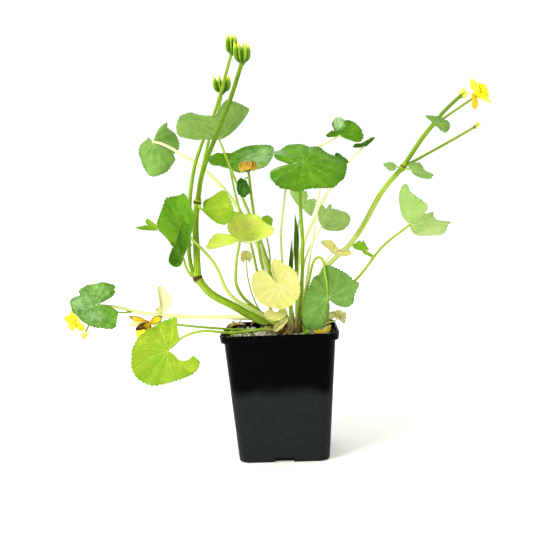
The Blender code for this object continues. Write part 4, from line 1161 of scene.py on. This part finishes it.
FLOWERS = {
    "flower_right": dict(place=(157.5, -4, 271.3), face=(0.72, 0.1, 0.65), tip=(-0.62, 0, 0.78),
                         petals=OPEN_PETALS, stamens=36, reach=4.5),
    "withered_flower": dict(place=(-102, -10, 106.5), face=(-0.3, -0.9, -0.3), tip=(-1, 0, 0.1),
                            petals=RAGGED_PETALS, stamens=12, reach=4),
    "spent_flower": dict(place=(-20, -6.5, 229), face=(0, -0.2, 0.95), tip=(1, 0, 0),
                         petals=CAP_PETALS, stamens=0, reach=0),
    "flower_trailing": dict(place=(-174, 31, 106), face=(-0.4, -0.9, 0), tip=(0, 0, 1),
                            petals=LOOSE_PETALS, stamens=16, reach=4,
                            stalk=[(-124, 28, 112.4), (-130, 24, 112), (-140, 28, 112.5),
                                   (-158, 33, 111), (-174, 31, 106)],
                            radii=[1.0, 0.8, 0.8, 0.8]),
    "flower_nodding": dict(place=(-167.5, 32, 93), face=(0.1, -0.5, -0.8), tip=(1, 0, 0),
                           petals=NODDING_PETALS, stamens=14, reach=3,
                           stalk=[(-159.5, 33.2, 110.8), (-164, 36, 102), (-167, 34, 95),
                                  (-167.5, 32, 93)],
                           radii=[0.8, 0.7]),
    "fallen_petal": dict(place=(33, -25, 95.5), face=(0.1, -0.25, 1), tip=(1, 0, 0),
                         petals=FALLEN_PETALS, stamens=0, reach=0),
}


def petal(bm, frame, turn, lift, length, width, curl, tone, rust, draw):
    """One petal: a small grid drawn in to a claw, rounded off, cupped and curled."""
    grain, hue, brown = marks(bm)
    verts = bmesh.ops.create_grid(bm, x_segments=10, y_segments=8, size=0.5)["verts"]
    twist, seed = draw.uniform(-0.3, 0.3), draw.uniform(0, 50)
    for vert in verts:
        along, across = vert.co.x + 0.5, vert.co.y * 2
        out = 1 - (1 - along) ** 1.3
        round_off = math.sin(math.pi * min(out, 0.999) ** 1.15 * 0.93) ** 0.6
        half = width / 2 * (CLAW + (1 - CLAW) * round_off)
        ragged = noise.noise(Vector((out * 2.5, across * 1.5, seed)))
        vert[grain] = (out, across * half / 6, seed)
        vert[hue] = tone + 0.15 * (out - 0.5)
        vert[brown] = rust * (0.3 + max(abs(across), out) ** 4)
        x = out * length * (1 - 0.1 * across**2)
        z = (0.16 * across**2 + ragged * 0.22 + twist * across * out) * half
        x, z = bend(x * MM, z * MM, math.radians(curl), length * MM)
        vert.co = (x, across * half * MM, z)
    lean = Matrix.Rotation(math.radians(turn), 4, "Z") @ Matrix.Rotation(-math.radians(lift), 4, "Y")
    bmesh.ops.transform(bm, verts=verts, matrix=frame @ lean)


def flower(name, spec, seed):
    draw = random.Random(seed)
    frame = facing(spec["tip"], spec["face"], spec["place"])
    bm = growing_mesh()
    for shape in spec["petals"]:
        petal(bm, frame, *shape, draw)
    made = piece(name + "_petals", bm, [PETAL_PAINT], [name], 70)
    thicken(made, PETAL_THICKNESS)
    if spec["stamens"]:
        bm = growing_mesh()
        for _ in range(spec["stamens"]):
            turn, out = draw.uniform(0, math.tau), draw.uniform(0.3, 1)
            way = Vector((math.cos(turn) * out, math.sin(turn) * out, 1.2 - 0.5 * out)) * spec["reach"] * MM
            points = [frame @ (way * share) for share in (0, 0.5, 0.8, 0.9, 1)]
            tube(bm, points, STAMEN_RADII, (0.75, 0.75, 0.5), sides=6)
        grown(name + "_stamens", bm, name, PETAL_PAINT, "petal", 50)
    if "stalk" in spec:
        line = smooth_route(spec["stalk"], 10)
        strand(name + "_stalk", name, line, spec["radii"], (0.35, 0.4, 0.5), ribs=5, groove=0.06)


for seed, (name, spec) in enumerate(FLOWERS.items()):
    flower(name, spec, seed + 40)


# Dead scraps and seedlings
# Dry shreds of old leaves, ochre to dark brown, lie curled on the grit among the stems, and a few
# small green seedlings stand by the crown.

# Each one: its place in mm, its turn and lift in degrees, its length and width, curl, tone and rust
SCRAPS = [
    ((-41, 30, 96.5), 15, 16, 14, 6, 45, 0.36, 0.1), ((-30, 34, 96.5), 175, 18, 13, 6, -50, 0.4, 0.2),
    ((-43, 22, 96.5), 60, 8, 9, 5, 50, 0.25, 0.35), ((-26, 30, 96.5), -30, 20, 10, 5, 60, 0.34, 0.2),
    ((2, -40, 97), 15, 10, 8, 4, 60, 0.2, 0.4), ((27, -36, 97), 150, 12, 9, 5, 50, 0.32, 0.2),
    ((38, 10, 97), 100, 20, 11, 6, 60, 0.3, 0.2), ((10, 38, 97), 200, 20, 12, 6, 70, 0.3, 0.3),
]
SEEDLINGS = [
    ((19, -37, 96), 70, 62, 7, 3.5, -30, 0.4, 0), ((20, -36, 96), 140, 75, 8, 3.5, -25, 0.35, 0),
    ((21, -37, 96), 10, 50, 6, 3, -35, 0.45, 0), ((-36, -30, 96), 100, 60, 6, 3, -30, 0.4, 0),
]
draw = random.Random(31)
for name, pieces, paint, slot in (("dead_scraps", SCRAPS, PETAL_PAINT, "withered"),
                                  ("seedlings", SEEDLINGS, UPPER_PAINT, "green_leaf")):
    bm = growing_mesh()
    for place, *shape in pieces:
        petal(bm, facing((1, 0, 0), (0, 0, 1), place), *shape, draw)
    thicken(piece(name, bm, [paint], ["compost"], 70), PETAL_THICKNESS)


# Seed heads
# Rings of flattened green pods, each ribbed along its seam and ending in a yellow beak, that
# stand on a small seat where the dried stamens still hang.

POD_TONES = [
    (0.0, (0.02, 0.07, 0.002)), (0.3, (0.08, 0.20, 0.003)), (0.55, (0.22, 0.42, 0.02)),
    (0.8, (0.58, 0.70, 0.05)), (1.0, (0.92, 0.88, 0.15)),
]
POD_LINE = [(0.3, 0.0), (0.76, 0.16), (0.95, 0.45), (1.0, 0.76), (1.22, 1.0)]
POD_RADII = (0.5, 0.85, 0.98, 1.0, 0.95, 0.8, 0.35, 0.12)
POD_SHADES = (0.25, 0.4, 0.5, 0.55, 0.7, 1.0, 1.05)
POD_RUST = (0.35, 0, 0, 0, 0, 0, 0.1)
SEAT_HEIGHTS = (-1.3, -0.9, -0.3, 0.4, 1)
SEAT_RADII = (0.55, 0.8, 1.0, 0.95, 0.4)
SEED_HEADS = {
    "seed_head_tall": dict(place=(-29.6, 4, 316.6), axis=(0.15, 0, 1), side=(1, 0.2, 0),
                           pods=7, height=14.5, spread=3.6, girth=1.6, seat=2),
    "seed_head_front": dict(place=(-19.2, -32, 300.6), axis=(0.2, 0, 1), side=(1, 0, 0),
                            pods=7, height=14.5, spread=4.9, girth=1.8, seat=2.2),
    "seed_head_back": dict(place=(-39.5, 14, 288.4), axis=(0.05, 0, 1), side=(1, 0.3, 0),
                           pods=9, height=13, spread=6.0, girth=1.5, seat=2),
    "young_head_tip": dict(place=(143, -18, 269.7), axis=(0.75, 0, 0.65), side=(0, 1, 0), threads=0,
                           pods=5, height=7, spread=2.6, girth=0.9, seat=1.5, tone=0.45),
    "young_head_side": dict(place=(158.5, 6, 249.3), axis=(0.75, 0, 0.55), side=(0, 1, 0), threads=0,
                            pods=5, height=5.5, spread=1.3, girth=0.8, seat=1.3, tone=0.5),
}


def pod_paint():
    paint = Paint("seed pod", 0.2)
    grain = paint.attribute("grain", "Vector")
    streak = paint.noise(paint.stretch(grain, 2.6, 2.6, 0.12), 1, 3)
    seam = abs(paint.node("ShaderNodeSeparateXYZ", None, {0: grain}, "Y")).ramp(0.1, 0.45)
    tone = paint.attribute("tone") + (streak - 0.5) * 0.5 + (0.5 - seam) * 0.22
    colour = paint.tint(POD_TONES, tone)
    brown = (paint.attribute("rust") + (streak - 0.5)).ramp(0.3, 0.6)
    colour = paint.mix(brown, colour, (0.10, 0.05, 0.01))
    return paint.finish(Base_Color=colour, Roughness=streak.ramp(0.2, 0.8, 0.5, 0.36),
                        Normal=paint.bump(streak - seam * 0.4, 0.0005, 0.6))


POD_PAINT = pod_paint()


def seed_head(name, spec, seed):
    draw = random.Random(seed)
    frame = facing(spec["side"], spec["axis"], spec["place"])
    lighter = spec.get("tone", 0)
    tones = [shade + lighter for shade in POD_SHADES]
    bm = growing_mesh()
    count = spec["pods"]
    for pod in range(count + count // 2):
        inner = pod >= count
        share = (pod - count + 0.5) / (count // 2) if inner else pod / count
        turn = math.tau * share + draw.uniform(-0.1, 0.1)
        spread = spec["spread"] * (0.45 if inner else 1) * draw.uniform(0.92, 1.06)
        height = spec["height"] * draw.uniform(0.9, 1.0)
        outward = Vector((math.cos(turn), math.sin(turn), 0))
        line = [outward * spread * out + Vector((0, 0, height * up)) for out, up in POD_LINE]
        points = [frame @ point for point in smooth_route(line, 4)]
        way = (points[1] - points[0]).normalized()
        side = (frame.to_3x3() @ Vector((-math.sin(turn), math.cos(turn), 0))).normalized()
        start = Matrix((side.cross(way), side, way)).transposed().to_quaternion()
        radii = [spec["girth"] * radius for radius in POD_RADII]
        tube(bm, points, radii, tones, POD_RUST, sides=12, ribs=2, groove=0.1, flat=0.6, start=start)
    grown(name + "_pods", bm, name, POD_PAINT, "seed_pod")
    bm = growing_mesh()
    axis = [frame @ Vector((0, 0, height * spec["seat"] * MM)) for height in SEAT_HEIGHTS]
    radii = [spec["seat"] * radius for radius in SEAT_RADII]
    tube(bm, axis, radii, (0.45,), (0.1, 0.45, 0.2), sides=20, ribs=7, groove=0.08)
    for _ in range(spec.get("threads", 5)):
        turn, drop = draw.uniform(0, math.tau), draw.uniform(0.2, 1.2)
        out = Vector((math.cos(turn), math.sin(turn), 0)) * spec["seat"]
        line = [out * 0.7, out * 1.25 - Vector((0, 0, 0.4)), out * 1.35 - Vector((0, 0, 1 + drop * 1.5))]
        tube(bm, [frame @ (point * MM) for point in line], (0.16, 0.13, 0.2), (0.6,), (0.6,), sides=5)
    grown(name + "_seat", bm, name, POD_PAINT, "seed_pod")


for seed, (name, spec) in enumerate(SEED_HEADS.items()):
    seed_head(name, spec, seed + 70)


# Crown
# The stubby rootstock, level with the grit, lumpy and dark brown. Every stalk rises from it out
# of a papery tan or red-brown sheath.

SHEATH_LENGTH = 13
SHEATH_RADII = (1.7, 1.6, 1.35, 1.12, 1.0)
SHEATH_TONES = (0.2, 0.35, 0.6, 0.75, 0.85)


def crown_paint():
    paint = Paint("crown", 0.3)
    grain = paint.attribute("grain", "Vector")
    fibre = paint.noise(paint.stretch(grain, 4, 4, 0.12), 1, 4)
    blotch = paint.noise(paint.place(), 240, 3)
    tone = paint.attribute("tone") + (fibre - 0.5) * 0.9 + (blotch - 0.5) * 0.5
    stops = [(0.0, (0.012, 0.005, 0.003)), (0.3, (0.07, 0.022, 0.008)), (0.55, (0.22, 0.11, 0.03)),
             (0.8, (0.48, 0.36, 0.13)), (1.0, (0.62, 0.56, 0.26))]
    colour = paint.tint(stops, tone)
    return paint.finish(Base_Color=colour, Roughness=fibre.ramp(0.2, 0.8, 0.85, 0.5),
                        Normal=paint.bump(fibre, 0.0009, 0.7))


def rootstock():
    bm = growing_mesh()
    bmesh.ops.create_icosphere(bm, subdivisions=5, radius=1)
    grain, tone, _ = marks(bm)
    for vert in bm.verts:
        way = vert.co.normalized()
        lump = 1 + 0.16 * noise.noise(way * 3) + 0.09 * noise.noise(way * 9)
        vert[grain] = (way.x, way.y, way.z * 20)
        vert[tone] = 0.25 + 0.3 * noise.noise(way * 4)
        vert.co = Vector((way.x * CROWN_HALF.x, way.y * CROWN_HALF.y, way.z * CROWN_HALF.z)) * lump * 0.92
        vert.co += CROWN_CENTRE
    return bm


def sheaths():
    """A sheath round the foot of each stalk, as far up as it goes before it frays."""
    draw = random.Random(12)
    bm = growing_mesh()
    feet = [(route, radii) for route, radii, _ in STEMS.values()]
    feet += [(spec["stalk"], spec["radii"]) for leaves in LEAVES for spec in leaves.values()]
    for route, radii in feet:
        if route[0][2] < ROOTED_BELOW:
            line = smooth_route(rooted(route), 24)
            reach, i = 0, 0
            while reach < (SHEATH_LENGTH + ROOT_DEPTH) * MM * draw.uniform(0.7, 1):
                i += 1
                reach += (line[i] - line[i - 1]).length
            wide = [radii[0] * radius for radius in SHEATH_RADII]
            hue = draw.choice(SHEATH_TONES)
            tube(bm, line[:i + 1], wide, (hue, hue, hue + 0.2), sides=20, ribs=3, groove=0.1)
    return bm


CROWN_PAINT = crown_paint()
piece("rootstock", rootstock(), [CROWN_PAINT], ["crown"], 60)
grown("stalk_sheaths", sheaths(), "crown", CROWN_PAINT, "crown")


# Floor, light and camera
# A plain white sweep under soft light from the upper left, and the camera where the photograph
# was taken from, level with the middle of the plant.

LIGHT_AIM = (0, 0, 0.15)
SKY_LIGHT = 0.72
SKY_SEEN = 1.1
LENS_PIXELS = 740
FRAME_PIXELS = 533
CAMERA_PLACE = (0.01775, -0.5848, 0.1725)
CAMERA_PITCH, CAMERA_YAW, CAMERA_ROLL = (math.radians(turn) for turn in (-2.52, 2.62, -2.41))

floor_bm = bmesh.new()
bmesh.ops.create_grid(floor_bm, x_segments=1, y_segments=1, size=6)
floor = placed("floor", mesh_from("floor", floor_bm))
floor_paint = Paint("white floor", 0.1)
away = floor_paint.node("ShaderNodeVectorMath", {"operation": "LENGTH"}, {0: floor_paint.place()}, "Value")
haze = floor_paint.noise(floor_paint.place(), 3, 2)
floor.data.materials.append(floor_paint.finish(
    Roughness=0.9, Emission_Strength=1,
    Base_Color=floor_paint.mix(haze, (0.97, 0.965, 0.93), (0.98, 0.975, 0.945)),
    Emission_Color=floor_paint.mix(away.ramp(0.0, 1.6), (0.25, 0.25, 0.22), (0.7, 0.7, 0.7))))

world = bpy.data.worlds.new("studio")
bpy.context.scene.world = world
world.use_nodes = True
back = world.node_tree.nodes["Background"]
back.inputs["Color"].default_value = (1, 1, 1, 1)
sight = world.node_tree.nodes.new("ShaderNodeLightPath")
level = world.node_tree.nodes.new("ShaderNodeMapRange")
level.inputs["To Min"].default_value = SKY_LIGHT
level.inputs["To Max"].default_value = SKY_SEEN
world.node_tree.links.new(sight.outputs["Is Camera Ray"], level.inputs["Value"])
world.node_tree.links.new(level.outputs[0], back.inputs["Strength"])


def soft_light(name, place, size, watts):
    """A round lamp that points at the middle of the plant."""
    light = bpy.data.lights.new(name, "AREA")
    light.shape = "DISK"
    light.size = size
    light.energy = watts
    made = placed(name, light)
    way = Vector(LIGHT_AIM) - Vector(place)
    made.matrix_world = Matrix.Translation(place) @ way.to_track_quat("-Z", "Y").to_matrix().to_4x4()


soft_light("key", (-0.8, -0.8, 0.9), 0.6, 13)
soft_light("back_light", (-0.2, 1.2, 0.9), 0.9, 5)

lens = bpy.data.cameras.new("camera")
lens.sensor_width = 36
lens.lens = LENS_PIXELS / FRAME_PIXELS * lens.sensor_width
lens.clip_start = 0.01
camera = placed("camera", lens)
aim = Matrix.Rotation(CAMERA_YAW, 4, "Z") @ Matrix.Rotation(math.pi / 2 + CAMERA_PITCH, 4, "X")
camera.matrix_world = Matrix.Translation(CAMERA_PLACE) @ aim @ Matrix.Rotation(CAMERA_ROLL, 4, "Z")
bpy.context.scene.camera = camera
bpy.context.scene.view_settings.view_transform = "Standard"
